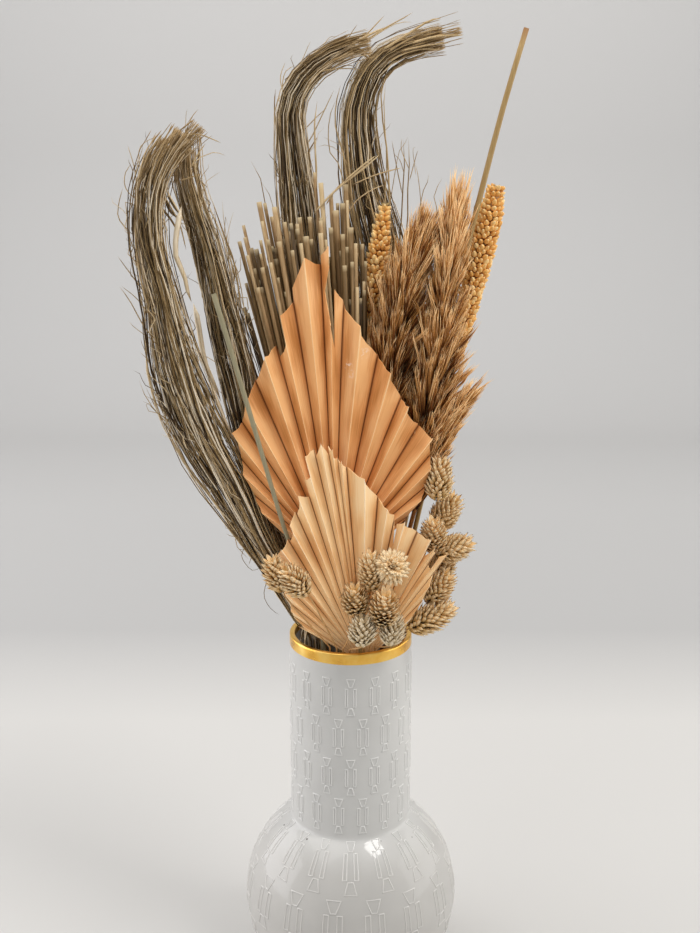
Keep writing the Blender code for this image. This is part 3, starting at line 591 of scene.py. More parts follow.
def leafMesh(name, leaf):
    folds = leaf["folds"]
    rays, steps = len(folds) - 1, len(blade["columns"])
    draw = random.Random(leaf["seed"])
    ragged = [draw.uniform(-0.6, 0.6) for k in range(rays * steps + 1)]
    sway = [draw.uniform(-0.5, 0.5) for k in range(rays + 1)]
    work = bmesh.new()
    layer = work.verts.layers.float_vector.new("leaf")
    bmesh.ops.create_grid(work, x_segments=rays * steps, y_segments=blade["rows"], size=1.0)
    for vert in work.verts:
        column = round((vert.co.x + 1) / 2 * rays * steps)
        ray = min(column // steps, rays - 1)
        u = blade["columns"][column % steps] if column < rays * steps else 1.0
        height = u if ray % 2 == 0 else 1 - u   # 0 in a valley, 1 on a ridge
        near, far = folds[ray][2], folds[ray + 1][1]
        reach = near + (far - near) * u + ragged[column]
        if u == 0 and ray:
            reach += folds[ray][1] - near
        reach += blade["tooth"] * max(0.0, 4 * height - 3)
        outward = (vert.co.y + 1) / 2
        radius = blade["hubRadius"] + (reach - blade["hubRadius"]) * outward
        bend = (sway[ray] * (1 - u) + sway[ray + 1] * u) * math.sin(math.pi * outward)
        angle = folds[ray][0] + (folds[ray + 1][0] - folds[ray][0]) * u + bend * 0.6
        rise = foldRise(leaf, ray, radius) * (1 - u) + foldRise(leaf, ray + 1, radius) * u
        lip = (max(0.0, height - 1 + blade["vein"]) - max(0.0, blade["vein"] - height)) / blade["vein"]
        rise += blade["crease"] * lip * min(1.0, radius / blade["foldFull"])
        vert[layer] = (ray + u, radius, height)
        vert.co = (leafPoint(leaf, angle, radius) - Vector((0, rise, 0))) * mm
    for corners in leaf["cuts"]:
        cutThrough(work, corners)
    bmesh.ops.solidify(work, geom=work.faces[:], thickness=blade["thickness"] * mm)
    bmesh.ops.recalc_face_normals(work, faces=work.faces)
    return asMesh(work, name)


def makeLeaf(name, leaf, node, material, stalkMaterial):
    middle = (leaf["folds"][0][0] + leaf["folds"][-1][0]) / 2
    mouth = atMouth(leaf["slot"])
    mouth.z = min(mouth.z, leaf["hub"][2] - 12)
    top = [leafPoint(leaf, middle, radius) for radius in (blade["hubRadius"], 18, 20)]
    points = [*closedFoot(footUnder(leaf["slot"])), mouth, *top]
    r = blade["petiole"]
    petiole = strandMesh("petiole", [(points, [0, r, r, r * 0.9, 0.5, 0], 0.6)], 8)
    finishPiece(name, [petiole, leafMesh("blade", leaf)], [stalkMaterial, material], node, crisp=22)


# Sheaves of fine dried grass

sheaves = {
    # count strands gather in locks; open is how loosely a lock's strands lie; paler is added to their tone;
    # width and depth are half the sheaf's, at equal steps along its route;
    # cut is (a, b, c, rough): the ends stop about where a x + b z passes c;
    # loose ends are (x, z) points at about looseY, radius and tone
    "grass_left_outer": {
        "slot": (-25, -10), "seed": 11, "count": 240, "locks": 9, "mouthWidth": 10, "cut": (-0.1, 1, 568, 5),
        "hairs": 240, "looseY": -3,
        "route": [(-30, -10, 262), (-47, -8, 292), (-60, -7, 316), (-75, -5, 346), (-91, -5, 376),
                  (-101, -5, 402), (-108, -5, 430), (-113, -5, 462), (-118, -5, 490), (-118, -5, 515),
                  (-113, -5, 534), (-104, -5, 549), (-92, -5, 562)],
        "width": [8, 8.5, 9.5, 12.5, 15, 16.5, 15.5, 12, 11, 11, 11, 9],
        "depth": [7, 8, 9, 10, 10, 9, 9, 8, 8, 8, 7, 6],
        "loose": [
            ([(-98, 514), (-100, 505), (-102, 494), (-102, 484), (-98, 475), (-96, 465), (-94, 458)],
             1.9, 0.82),
            ([(-109, 520), (-104, 511), (-100, 502), (-97, 488)], 0.5, 0.5),
            ([(-107, 523), (-102, 515), (-97, 505)], 0.6, 0.7),
            ([(-111, 513), (-105, 505), (-101, 497)], 0.7, 0.35),
            ([(-108, 517), (-105, 510), (-98, 505)], 0.8, 0.2),
            ([(-106, 520), (-102, 513), (-99, 509)], 0.8, 0.15),
            ([(-125, 517), (-131, 523), (-131, 531), (-127, 538)], 0.3, 0.6),
            ([(-124, 511), (-131, 517), (-131, 509), (-131, 497), (-129, 483)], 0.3, 0.5),
            ([(-127, 497), (-135, 506), (-135, 514), (-132, 524)], 0.35, 0.5),
            ([(-123, 523), (-125, 537), (-128, 548)], 0.3, 0.6),
            ([(-121, 534), (-121, 545), (-117, 550), (-109, 553)], 0.3, 0.6),
            ([(-89, 528), (-89, 539), (-84, 542), (-78, 544), (-72, 542)], 0.4, 0.7),
            ([(-99, 552), (-88, 554), (-81, 552), (-74, 549)], 0.4, 0.6),
            ([(-92, 535), (-88, 542), (-83, 549)], 0.45, 0.6),
            ([(-97, 548), (-87, 557), (-82, 555)], 0.3, 0.6),
            ([(-97, 550), (-91, 563), (-87, 568)], 0.3, 0.5),
            ([(-95, 552), (-94, 565), (-93, 568)], 0.25, 0.5),
            ([(-99, 528), (-92, 530), (-86, 532)], 0.35, 0.5),
            ([(-86, 506), (-89, 523), (-89, 537), (-87, 541)], 0.35, 0.5),
            ([(-87, 512), (-84, 526), (-80, 530), (-75, 533)], 0.25, 0.6),
            ([(-119, 459), (-131, 476), (-137, 485)], 0.35, 0.5),
            ([(-114, 441), (-125, 459), (-136, 468)], 0.3, 0.5),
            ([(-112, 430), (-128, 441), (-133, 446)], 0.25, 0.6),
            ([(-95, 374), (-110, 389), (-119, 399), (-124, 402)], 0.35, 0.5),
            ([(-97, 376), (-116, 389), (-123, 391), (-124, 396), (-120, 397)], 0.25, 0.6),
            ([(-75, 332), (-98, 364), (-113, 383), (-124, 408)], 0.4, 0.4),
            ([(-87, 348), (-104, 374), (-122, 396), (-128, 411)], 0.35, 0.6),
            ([(-36, 268), (-55, 292), (-76, 322), (-93, 349), (-106, 378), (-112, 402), (-117, 430)],
             0.4, 0.6),
            ([(-35, 262), (-52, 284), (-74, 315), (-95, 344), (-108, 369), (-115, 396)], 0.35, 0.3),
            ([(-37, 266), (-60, 294), (-80, 321), (-98, 349), (-110, 380), (-116, 410)], 0.45, 0.7),
            ([(-34, 260), (-54, 290), (-70, 314), (-90, 343), (-101, 363)], 0.3, 0.4),
            ([(-38, 270), (-64, 303), (-83, 329), (-99, 356), (-111, 388)], 0.35, 0.2),
            ([(-64, 293), (-61, 300), (-54, 301)], 0.2, 0.3),
            ([(-52, 285), (-55, 272), (-51, 263), (-45, 258)], 0.2, 0.3),
            ([(-66, 306), (-68, 299), (-62, 290), (-56, 292)], 0.2, 0.3),
            ([(-56, 296), (-69, 313), (-72, 306), (-64, 296)], 0.3, 0.6),
            ([(-108, 429), (-121, 441), (-130, 459), (-136, 468)], 0.4, 0.5),
        ],
    },
    "grass_left_inner": {
        "slot": (-19, 14), "seed": 12, "count": 200, "locks": 7, "mouthWidth": 7, "cut": (0, 1, 554, 6),
        "hairs": 170, "looseY": 12,
        "route": [(-22, 13, 262), (-44, 13, 297), (-53, 14, 330), (-59, 14, 363), (-64, 14, 395),
                  (-69, 15, 420), (-74.5, 15, 445), (-79.5, 14, 469), (-85.5, 14, 493), (-92, 13, 514),
                  (-96, 12, 533), (-96, 12, 553)],
        "width": [7, 8, 9, 10, 11, 12.5, 13, 12, 10.5, 9, 8, 6],
        "depth": [6, 7, 8, 9, 9, 9, 9, 8, 8, 7, 6, 5],
        "loose": [
            ([(-95, 456), (-93, 448), (-92, 438), (-89, 420), (-84, 407), (-80, 395)], 1.7, 0.8),
            ([(-77, 439), (-82, 475), (-84, 496), (-86, 514)], 0.4, 0.5),
            ([(-72, 439), (-75, 475), (-79, 496), (-81, 514)], 0.35, 0.5),
            ([(-67, 436), (-71, 475), (-75, 502), (-76, 517)], 0.3, 0.6),
            ([(-66, 450), (-69, 478), (-75, 496), (-82, 517)], 0.5, 0.4),
            ([(-62, 432), (-67, 472), (-75, 493), (-74, 508), (-72, 499)], 0.3, 0.5),
            ([(-69, 450), (-72, 469), (-73, 487), (-72, 499)], 0.3, 0.5),
            ([(-66, 430), (-68, 457), (-65, 460), (-61, 456), (-67, 439)], 0.35, 0.5),
        ],
    },
    "grass_top_left": {
        "slot": (-8, 28), "seed": 13, "count": 280, "locks": 8, "mouthWidth": 3, "cut": (1, 0, 12, 8),
        "hairs": 140, "looseY": 36,
        "route": [(-10, 29, 262), (-17, 32, 330), (-24, 36, 410), (-29, 38, 470), (-33, 39, 515),
                  (-36, 39, 548), (-36, 39, 570), (-29, 39, 585), (-17, 38, 596), (-2, 36, 603),
                  (10, 35, 606)],
        "width": [4, 6, 8, 11, 12.5, 13, 12, 11, 9, 7, 5],
        "depth": [4, 5, 6, 8, 9, 10, 10, 9, 8, 7, 6],
        "loose": [
            ([(-12, 597), (0, 605), (9, 610), (20, 615)], 0.9, 0.7),
            ([(-6, 601), (1, 605), (8, 610), (20, 622)], 0.45, 0.6),
            ([(-4, 600), (4, 605), (20, 615), (30, 620), (37, 624)], 0.5, 0.6),
            ([(-2, 601), (6, 605), (20, 614), (29, 618), (37, 618)], 0.3, 0.7),
            ([(-14, 598), (-6, 603), (3, 604), (9, 601), (13, 599)], 1.0, 0.6),
            ([(-9, 600), (0, 603), (7, 600), (12, 597)], 0.8, 0.4),
            ([(-11, 603), (-3, 607), (4, 609)], 0.9, 0.3), ([(-13, 598), (-3, 603), (10, 600)], 0.7, 0.8),
            ([(-8, 605), (1, 608), (10, 613)], 0.6, 0.6),
            ([(-22, 588), (-15, 591), (0, 592), (12, 590)], 0.35, 0.5),
            ([(-24, 582), (-18, 587), (-3, 594), (4, 592)], 0.35, 0.5),
            ([(-8, 602), (-3, 607), (1, 613), (4, 617)], 0.3, 0.5),
            ([(-18, 602), (-15, 607), (-12, 610), (-8, 610)], 0.2, 0.6),
            ([(-29, 545), (-23, 554), (-17, 566), (-10, 580)], 0.35, 0.6),
            ([(-28, 557), (-21, 564), (-14, 570)], 0.3, 0.6),
            ([(-31, 533), (-25, 545), (-20, 553)], 0.5, 0.4),
            ([(-39, 574), (-42, 586), (-39, 596)], 0.3, 0.6),
            ([(-42, 540), (-45, 557), (-46, 571), (-45, 581)], 0.5, 0.4),
            ([(-38, 572), (-41, 580), (-39, 590), (-33, 594)], 0.3, 0.6),
            ([(-38, 440), (-47, 485), (-54, 521), (-56, 532), (-61, 539)], 0.4, 0.4),
            ([(-36, 450), (-42, 485), (-49, 516), (-55, 527)], 0.3, 0.5),
            ([(-21, 470), (-21, 516), (-21, 539), (-22, 557), (-20, 574)], 0.7, 0.7),
            ([(-26, 480), (-26, 516), (-25, 539), (-26, 551)], 0.6, 0.5),
        ],
    },
    "grass_top_right": {
        "slot": (6, 28.5), "seed": 14, "count": 185, "locks": 13, "open": 0.28, "paler": 0.08,
        "mouthWidth": 3, "cut": (1, 0, 66, 11), "hairs": 150, "looseY": 40,
        "route": [(8, 30, 262), (16, 34, 330), (21.5, 38, 400), (21, 41, 460), (15, 43, 495), (9, 45, 520),
                  (5.5, 46, 545), (4.5, 47, 567), (10, 47, 587), (21, 48, 600), (38, 48, 607), (65, 47, 613)],
        "width": [4, 6, 9, 14, 17, 17.5, 17, 15, 12, 10, 8, 7],
        "depth": [4, 5, 7, 9, 10, 10, 9, 8, 8, 7, 6, 5],
        "loose": [
            ([(18, 602), (26, 607), (36, 613), (46, 619), (54, 621)], 0.8, 0.6),
            ([(20, 600), (29, 606), (44, 613), (59, 616)], 0.6, 0.5),
            ([(35, 606), (50, 610), (67, 611)], 0.7, 0.6), ([(29, 602), (44, 605), (60, 607)], 0.5, 0.6),
            ([(22, 594), (28, 599), (41, 603), (52, 603), (54, 605)], 0.35, 0.6),
            ([(15, 586), (21, 592), (27, 597), (31, 593)], 0.3, 0.6),
            ([(-1, 520), (-5, 545), (-9, 557), (-9, 571), (-6, 583)], 0.5, 0.5),
            ([(-2, 515), (-7, 536), (-13, 545), (-13, 563), (-9, 574)], 0.35, 0.5),
            ([(1, 520), (-3, 539), (-11, 547), (-17, 548), (-20, 547)], 0.25, 0.6),
            ([(2, 525), (-3, 545), (-11, 550), (-17, 553)], 0.2, 0.6),
            ([(22, 480), (21, 515), (22, 539), (20, 569), (21, 586)], 0.4, 0.6),
            ([(24, 470), (24, 509), (22, 545), (18, 574), (22, 592)], 0.6, 0.5),
            ([(24, 430), (28, 465), (31, 496), (32, 518), (33, 539), (32, 552)], 0.5, 0.4),
            ([(26, 430), (32, 470), (35, 502), (35, 524), (36, 542), (35, 552)], 0.5, 0.4),
            ([(32, 518), (28, 536), (25, 551)], 0.3, 0.4), ([(33, 530), (30, 539), (26, 543)], 0.25, 0.4),
            ([(36, 527), (40, 542), (41, 545)], 0.3, 0.4), ([(36, 533), (31, 545), (31, 552)], 0.25, 0.5),
            ([(35, 470), (43, 500), (42, 524), (39, 539)], 0.3, 0.5),
            ([(40, 490), (44, 518), (47, 526), (48, 531)], 0.3, 0.5),
            ([(46, 480), (53, 506), (51, 518), (56, 529)], 0.3, 0.5),
            ([(24, 510), (27, 530), (30, 545), (35, 551), (35, 553)], 0.25, 0.5),
            ([(40, 530), (38, 545), (40, 547)], 0.2, 0.5),
        ],
    },
}


# How a strand lies: points along it, set closer towards its tip; how far it is off its lock, or strays, in
# shares of the sheaf's width; radii of fine and coarse ones, what they lose by the tip, how uneven they are;
# from where and by how much tips fray; kinks in mm; mean and spread of the tone, and how much darker the
# strands deep inside are painted (painted shade)
strand = {
    "steps": 30, "crowd": 0.85, "inLock": 0.09, "stray": 0.34, "fine": (0.26, 0.44), "coarse": (0.46, 0.70),
    "taper": 0.45, "uneven": (0.75, 1.25), "frayFrom": 0.82, "frayOver": 0.18, "fray": 0.35, "kink": 0.22,
    "tip": 2.5, "tone": (0.52, 0.50), "paintedInsideShade": 0.16, "palest": 0.94,
}


def sheafStrands(sheaf):
    draw = random.Random(sheaf["seed"])
    route = smoothRoute(sheaf["route"], 90)
    foot, mouth = footUnder(sheaf["slot"]), atMouth(sheaf["slot"])
    cutX, cutZ, cutAt, cutRough = sheaf["cut"]
    locks = []
    for k in range(sheaf["locks"]):
        reach = 0.90 * math.sqrt((k + 0.6) / sheaf["locks"])
        drift, phase, short = draw.uniform(-2.4, 2.4), draw.uniform(0, 6.28), draw.uniform(-4, 3)
        locks.append((k * goldenTurn, reach, drift, phase, short))
    strands = []
    for k in range(sheaf["count"]):
        turn, reach, drift, phase, short = locks[k % len(locks)]
        stray = k % 3 == 1   # strands that cross from lock to lock
        scatter = strand["stray"] if stray else sheaf.get("open", strand["inLock"])
        ownA, ownB = draw.gauss(0, scatter), draw.gauss(0, scatter)
        sway = draw.uniform(0.15, 0.5) if stray or k % 4 == 0 else draw.uniform(0.02, 0.12)
        pace, twist = draw.uniform(2.5, 8), draw.uniform(0, 6.28)
        ripple, rippleAt = draw.uniform(0.01, 0.06), draw.uniform(18, 40)
        frayA, frayB = draw.gauss(0, strand["fray"]), draw.gauss(0, strand["fray"])
        end = 1.0 if k % 6 else draw.uniform(0.55, 0.97)
        cut = cutAt + short - abs(draw.gauss(0, cutRough)) + 2
        radius = draw.uniform(*strand["fine" if k % 3 else "coarse"])
        inset = Vector((math.cos(turn), math.sin(turn), 0)) * reach
        gate = mouth + inset * sheaf["mouthWidth"]
        shrink = min(1.0, stand["reach"] / math.hypot(gate.x, gate.y))   # keeps clear of the neck's wall
        gate = Vector((gate.x * shrink, gate.y * shrink, gate.z))
        points = [foot + inset * 2.5, foot + inset * 2.6 + Vector((0, 0, 1)), gate]
        radii = [0.0, radius, radius]
        for step in range(strand["steps"]):
            share = step / (strand["steps"] - 1)
            t = end * share ** strand["crowd"]
            centre, heading = along(route, t)
            across, through = sidesOf(heading)
            near = 0.7 + 0.3 * min(1.0, t * 3)
            wander = sway * math.sin(twist + pace * t) + ripple * math.sin(twist + rippleAt * t)
            loose = max(0.0, t - strand["frayFrom"]) / strand["frayOver"]
            a = reach * math.cos(turn + drift * t) + 0.10 * math.sin(phase + 6 * t) + ownA + wander
            b = reach * math.sin(turn + drift * t) + 0.10 * math.cos(phase + 5 * t) + ownB + wander * 0.6
            within = min(1.0, 1.15 / max(math.hypot(a, b), 0.01))
            a, b = a * within + frayA * loose ** 2, b * within + frayB * loose ** 2
            point = (centre + across * near * a * valueAt(sheaf["width"], t)
                     + through * near * b * valueAt(sheaf["depth"], t))
            point += Vector((draw.gauss(0, strand["kink"]), draw.gauss(0, strand["kink"]), 0))
            if step > 3 and point.x * cutX + point.z * cutZ > cut:
                break
            points.append(point)
            radii.append(radius * (1 - strand["taper"] * share ** 2) * draw.uniform(*strand["uneven"]))
        points.append(points[-1] + (points[-1] - points[-2]).normalized() * strand["tip"])
        radii.append(0.0)
        # painted shade: strands deeper inside the sheaf get a darker tone
        tone = draw.gauss(*strand["tone"]) - strand["paintedInsideShade"] * (1 - reach) + sheaf.get("paler", 0.0)
        strands.append((points, radii, clamp(tone, high=strand["palest"])))
    return strands + looseEnds(sheaf, draw) + sheafHairs(sheaf, route, draw)


def looseEnds(sheaf, draw):
    strands = []
    for line, radius, tone in sheaf["loose"]:
        depth = sheaf["looseY"] + draw.uniform(-4, 4)
        points = smoothRoute([(x, depth + draw.uniform(-1.5, 1.5), z) for x, z in line], 9)
        radii = [0.0] + [radius * (1 - 0.5 * (k / 7) ** 2) for k in range(7)] + [0.0]
        strands.append((points, radii, tone))
    return strands


# where hairs start along the sheaf; length and lift of those that lie close and of those that stand off;
# bend and curl to a side, in shares of the length; radii from root to tip
hair = {
    "from": (0.08, 0.90), "close": (5, 15), "closeLift": (-0.05, 0.22), "free": (9, 23),
    "freeLift": (0.15, 0.43),
    "bend": 0.4, "curl": 0.14, "radii": (0.0, 0.28, 0.26, 0.22, 0.18, 0.14, 0.0),
}


def sheafHairs(sheaf, route, draw):
    # Broken ends and curled root hairs: two in three lie close to the sheaf, the others stand off it
    hairs = []
    for k in range(sheaf["hairs"]):
        t = draw.uniform(*hair["from"])
        centre, heading = along(route, t)
        across, through = sidesOf(heading)
        turn = draw.uniform(0, 2 * math.pi)
        out = spoke(across, through, turn)
        start = centre + across * math.cos(turn) * valueAt(sheaf["width"], t) * 0.9
        start += through * math.sin(turn) * valueAt(sheaf["depth"], t) * 0.9
        kind = "close" if k % 3 else "free"
        length, lift = draw.uniform(*hair[kind]), draw.uniform(*hair[kind + "Lift"])
        bend = draw.uniform(-hair["bend"], hair["bend"])
        curl = draw.uniform(-hair["curl"], hair["curl"])
        points = [start]
        for step in range(1, 7):
            s = step / 6
            side = bend * s * s + curl * math.sin(9 * s)
            points.append(start + heading * length * s + out * length * lift * s ** 1.3
                          + across * side * length)
        thick = draw.uniform(0.7, 1.3)
        radii = [thick * r for r in hair["radii"]]
        hairs.append((points, radii, draw.uniform(0.1, 0.85)))
    return hairs


# Cut reeds, a fan of straight stalks

reeds = {
    "slot": (0, 12), "seed": 21, "mouthSpread": (8.5, 7.5), "footSpread": (6, 5),
    # the fan's middle in X and Y and half its size
    "middle": (-28, 19), "half": (40, 9), "topTone": (0.22, 0.85),
    # shorter stalks that fill it: height of their tops, more in the middle, and how far short they are
    "fillers": 64, "fillerHalf": 38, "fillerTop": 500, "fillerRise": 22, "fillerShort": (14, 60),
    "fillerY": (13, 27), "fillerRadius": (0.9, 1.5), "fillerTone": (0.0, 0.42),
    # tops of the stalks seen from the front, and their radius
    "tops": [(-67, 16, 492, 1.2), (-64, 20, 494, 1.0), (-65, 24, 501, 1.0), (-55, 20, 515, 1.6),
             (-52, 26, 514, 1.1), (-46, 22, 512, 1.6), (-53, 14, 504, 1.0), (-48, 27, 506, 1.3),
             (-40, 22, 503, 1.3), (-54, 12, 493, 1.0), (-50, 15, 492, 1.3), (-54, 11, 485, 0.8),
             (-43, 14, 492, 1.6), (-36, 17, 498, 1.2), (-32, 23, 502, 1.6), (-27, 16, 495, 1.9),
             (-25, 25, 506, 1.3), (-24, 20, 493, 1.3), (-18, 27, 526, 1.5), (-18, 21, 504, 1.3),
             (-18, 15, 497, 1.5), (-12, 26, 519, 1.3), (-12, 18, 500, 1.4), (-8, 27, 514, 1.0),
             (-9, 22, 510, 1.9), (-5, 25, 514, 1.7), (-2, 20, 516, 0.8), (-3, 28, 525, 1.6),
             (0, 19, 500, 1.8), (3, 14, 491, 1.1), (7, 22, 490, 1.3), (4, 12, 465, 1.1),
             (-53, 10, 477, 1.3), (-56, 10, 465, 1.3), (-54, 12, 465, 1.3), (-22, 30, 532, 1.0),
             (1, 14, 480, 1.3), (9, 18, 480, 1.1), (-62, 12, 484, 1.1), (-58, 14, 476, 1.0),
             (-48, 9, 480, 1.2), (-35, 12, 487, 1.2), (-30, 14, 491, 1.2), (-15, 16, 493, 1.0),
             (8, 16, 468, 1.0)],
    # pale blades that lie across the fan: points, radius, tone
    "across": [([(-23, 24, 507), (-14, 24, 517), (-4, 24, 526), (7, 25, 534), (18, 26, 543)], 0.65, 0.95),
               ([(-4, 23, 527), (7, 24, 536), (15, 25, 542)], 0.5, 0.9),
               ([(-2, 24, 508), (4, 24, 516), (13, 25, 522), (21, 26, 525)], 0.35, 0.85),
               ([(1, 25, 525), (16, 25, 531), (31, 26, 535)], 0.4, 0.85),
               ([(-15, 24, 513), (-9, 24, 522), (-4, 24, 527)], 0.4, 0.7)],
}


def reedStrand(foot, root, top, radius, tone, draw):
    # A cut stalk from the vase's floor: node rings a hand's breadth apart, a square end with a pithy middle
    heading = (top - root).normalized()
    length = (top - root).length
    points, radii = [*closedFoot(foot), root], [0.0, radius * 0.8, radius * 0.85]
    node = draw.uniform(60, 120)
    while node < length - 8:
        for shift, grow in ((-4, 1.0), (-1.2, 1.04), (0, 1.18), (1.2, 1.0), (4, 0.97)):
            points.append(root + heading * (node + shift))
            radii.append(radius * grow)
        node += draw.uniform(80, 130)
    points += [top, top + heading * stand["cap"]]
    radii += [radius * 0.97, 0.0]
    return points, radii, tone


def makeReeds(material):
    draw = random.Random(reeds["seed"])
    foot, mouth = footUnder(reeds["slot"]), atMouth(reeds["slot"])
    tops = [(Vector(place[:3]), place[3], draw.uniform(*reeds["topTone"])) for place in reeds["tops"]]
    (middleX, middleY), (halfX, halfY) = reeds["middle"], reeds["half"]
    for k in range(reeds["fillers"]):
        across = 2 * (k + 0.5) / reeds["fillers"] - 1
        rise = reeds["fillerRise"] * (1 - across ** 2) - draw.uniform(*reeds["fillerShort"])
        top = (middleX + across * reeds["fillerHalf"], draw.uniform(*reeds["fillerY"]),
               reeds["fillerTop"] + rise)
        tops.append((Vector(top), draw.uniform(*reeds["fillerRadius"]), draw.uniform(*reeds["fillerTone"])))
    strands = []
    for top, radius, tone in tops:
        across, through = (top.x - middleX) / halfX, (top.y - middleY) / halfY
        root = mouth + Vector((across * reeds["mouthSpread"][0], through * reeds["mouthSpread"][1], 0))
        below = foot + Vector((across * reeds["footSpread"][0], through * reeds["footSpread"][1], 0))
        strands.append(reedStrand(below, root, top, radius, tone, draw))
    for line, radius, tone in reeds["across"]:
        strands.append((smoothRoute(line, 10), [0.0] + [radius] * 7 + [radius * 0.7, 0.0], tone))
    finishPiece("reed_fan", [strandMesh("reeds", strands, 8)], [material], "cut_reeds")


# Feathery reed plumes

plumes = {
    "reed_plume_left": {
        "slot": (15, 7), "seed": 31, "tone": 0.53, "bodies": [{
            "clumps": 680, "from": 0.36, "long": 29, "lean": 0.0,
            "route": [(15, 8, 262), (15, 11, 320), (19, 12, 375), (25, 12, 420), (32, 12, 460),
                      (41, 13, 488), (45, 13, 498)],
            "radii": [6, 13, 17, 18.5, 18.5, 17.5, 15.5, 12, 7],
        }],
    },
    "reed_plume_right": {
        "slot": (21, 9), "seed": 32, "tone": 0.70, "bodies": [{
            "clumps": 700, "from": 0.30, "long": 28, "lean": 0.1, "partFrom": 0.5,
            "route": [(22, 9, 262), (34, 7, 320), (44, 6, 370), (52, 7, 420), (58, 8, 465),
                      (61, 8, 492), (63, 8, 512)],
            "radii": [8, 14, 16.5, 18.5, 19, 17.5, 15.5, 13.5, 10, 5],
        }, {
            "clumps": 190, "from": 0.45, "long": 24, "lean": 0.2,
            "route": [(23, 8, 262), (36, 5, 310), (46, 2, 350), (58, 0, 380), (69, -2, 398)],
            "radii": [4, 8, 9, 8, 6, 3],
        }],
    },
}
# end is the share of the route where the stalk ends
clump = {"hairs": 8, "radius": 0.27, "belly": 1.3, "stray": 1.9, "stalk": 1.4, "end": 0.97}


def plumeStrands(plume):
    # Each clump of down is a flame: its hairs leave the stem together, belly out and meet again near its tip
    draw = random.Random(plume["seed"])
    strands = []
    for body in plume["bodies"]:
        route = smoothRoute(body["route"], 60)
        stalk = [*closedFoot(footUnder(plume["slot"])), atMouth(plume["slot"])]
        stalk += [along(route, clump["end"] * k / 10)[0] for k in range(11)]
        strands.append((stalk, [0.0] + [clump["stalk"]] * 8 + [1.2, 1.0, 0.8, 0.5, 0.0], 0.35))
        for k in range(body["clumps"]):
            share = (k + 0.5) / body["clumps"]
            root, heading = along(route, body["from"] + (clump["end"] - body["from"]) * share)
            across, through = sidesOf(heading)
            out = spoke(across, through, k * goldenTurn + draw.uniform(-0.6, 0.6))
            if share > body.get("partFrom", 1.0) and out.x > 0.3 and out.y < 0.35 and k % 5:
                continue   # combed open where the long reed shows
            depth = draw.uniform(0.25, 1.0) ** 0.6
            wide = valueAt(body["radii"], share) * depth
            length = body["long"] * draw.uniform(0.65, 1.25) * (1 - 0.06 * share)
            curl = draw.uniform(-0.12, 0.35) * wide
            foot = root + out * wide * 0.25
            middle = root + out * wide * 0.9 + heading * length * 0.45
            tip = root + out * (wide + curl) + heading * length
            tip += (across * (draw.uniform(-3, 3) - body["lean"] * length * 0.3)
                    + through * draw.uniform(-2, 2))
            # random tone for each clump, with painted shade that darkens clumps nearer the stem, deep in the
            # plume; higher clumps are lighter
            toneAndShade = plume["tone"] + draw.gauss(0.0, 0.13) - 0.60 * (1 - depth) + 0.48 * (share - 0.60)
            for n in range(clump["hairs"]):
                aside = spoke(across, through, n * 2.4 + k)
                belly = clump["belly"] * draw.uniform(0.3, 1.4)
                reach = draw.uniform(0.72, 1.08)
                stray = Vector((draw.uniform(-1, 1), draw.uniform(-1, 1), 0)) * clump["stray"]
                points = []
                for step in range(5):
                    s = reach * step / 4
                    point = foot * (1 - s) ** 2 + middle * 2 * s * (1 - s) + tip * s ** 2
                    points.append(point + aside * belly * math.sin(math.pi * min(1.0, s)) + stray * s * s)
                radii = [clump["radius"] * r for r in (0.0, 1.0, 1.15, 0.85, 0.0)]
                strands.append((points, radii, clamp(toneAndShade + draw.uniform(-0.30, 0.30))))
    return strands


# Millet spikes

millets = {
    "millet_spike_left": {
        "slot": (14, 18.5), "seed": 41, "foot": (8, 27, 418), "tip": (21, 26, 514),
        "radii": (3.2, 4.8, 5.7, 5.9, 5.4, 4.2, 1.2),
    },
    "millet_spike_right": {
        "slot": (27, 13), "seed": 42, "foot": (66, 30, 420), "tip": (88, 24, 525),
        "radii": (3.0, 4.4, 5.4, 6.3, 6.9, 6.4, 3.2),
    },
}
grain = {"radius": 1.8, "length": 2.3, "spacing": 3.3, "ring": 2.9, "stalk": 1.5, "bristles": 200, "tuft": 18}


def placedShapes(name, template, places):
    # A small shape built at each place; tone is drawn for each, along runs from its foot to its tip
    work = bmesh.new()
    toneLayer = work.verts.layers.float.new("tone")
    alongLayer = work.verts.layers.float.new("along")
    heights = [v.co.z for v in template.vertices]
    low, high = min(heights), max(heights)
    for matrix, tone, start, end in places:
        work.from_mesh(template)
        work.verts.ensure_lookup_table()
        made = work.verts[-len(heights):]
        bmesh.ops.transform(work, matrix=matrix, verts=made)
        for vert, height in zip(made, heights):
            vert[toneLayer] = tone
            vert[alongLayer] = start + (end - start) * (height - low) / (high - low)
    return asMesh(work, name)


def grainTemplate():   # a plump grain with a drawn-out tip up Z
    work = bmesh.new()
    bmesh.ops.create_uvsphere(work, u_segments=7, v_segments=6, radius=1.0)
    for vert in work.verts:
        up = max(0.0, vert.co.z)
        vert.co = (vert.co.x * (1 - 0.45 * up), vert.co.y * (1 - 0.45 * up), vert.co.z * (1 + 0.15 * up))
    return asMesh(work, "grain")


def facing(place, heading, outward, size):
    # A matrix at place whose Z is heading and whose Y is outward, scaled to size in mm
    z = heading.normalized()
    x = outward.cross(z).normalized()
    y = z.cross(x)
    turned = Matrix((x, y, z)).transposed().to_4x4()
    return Matrix.Translation(place * mm) @ turned @ Matrix.Diagonal((*[s * mm for s in size], 1.0))


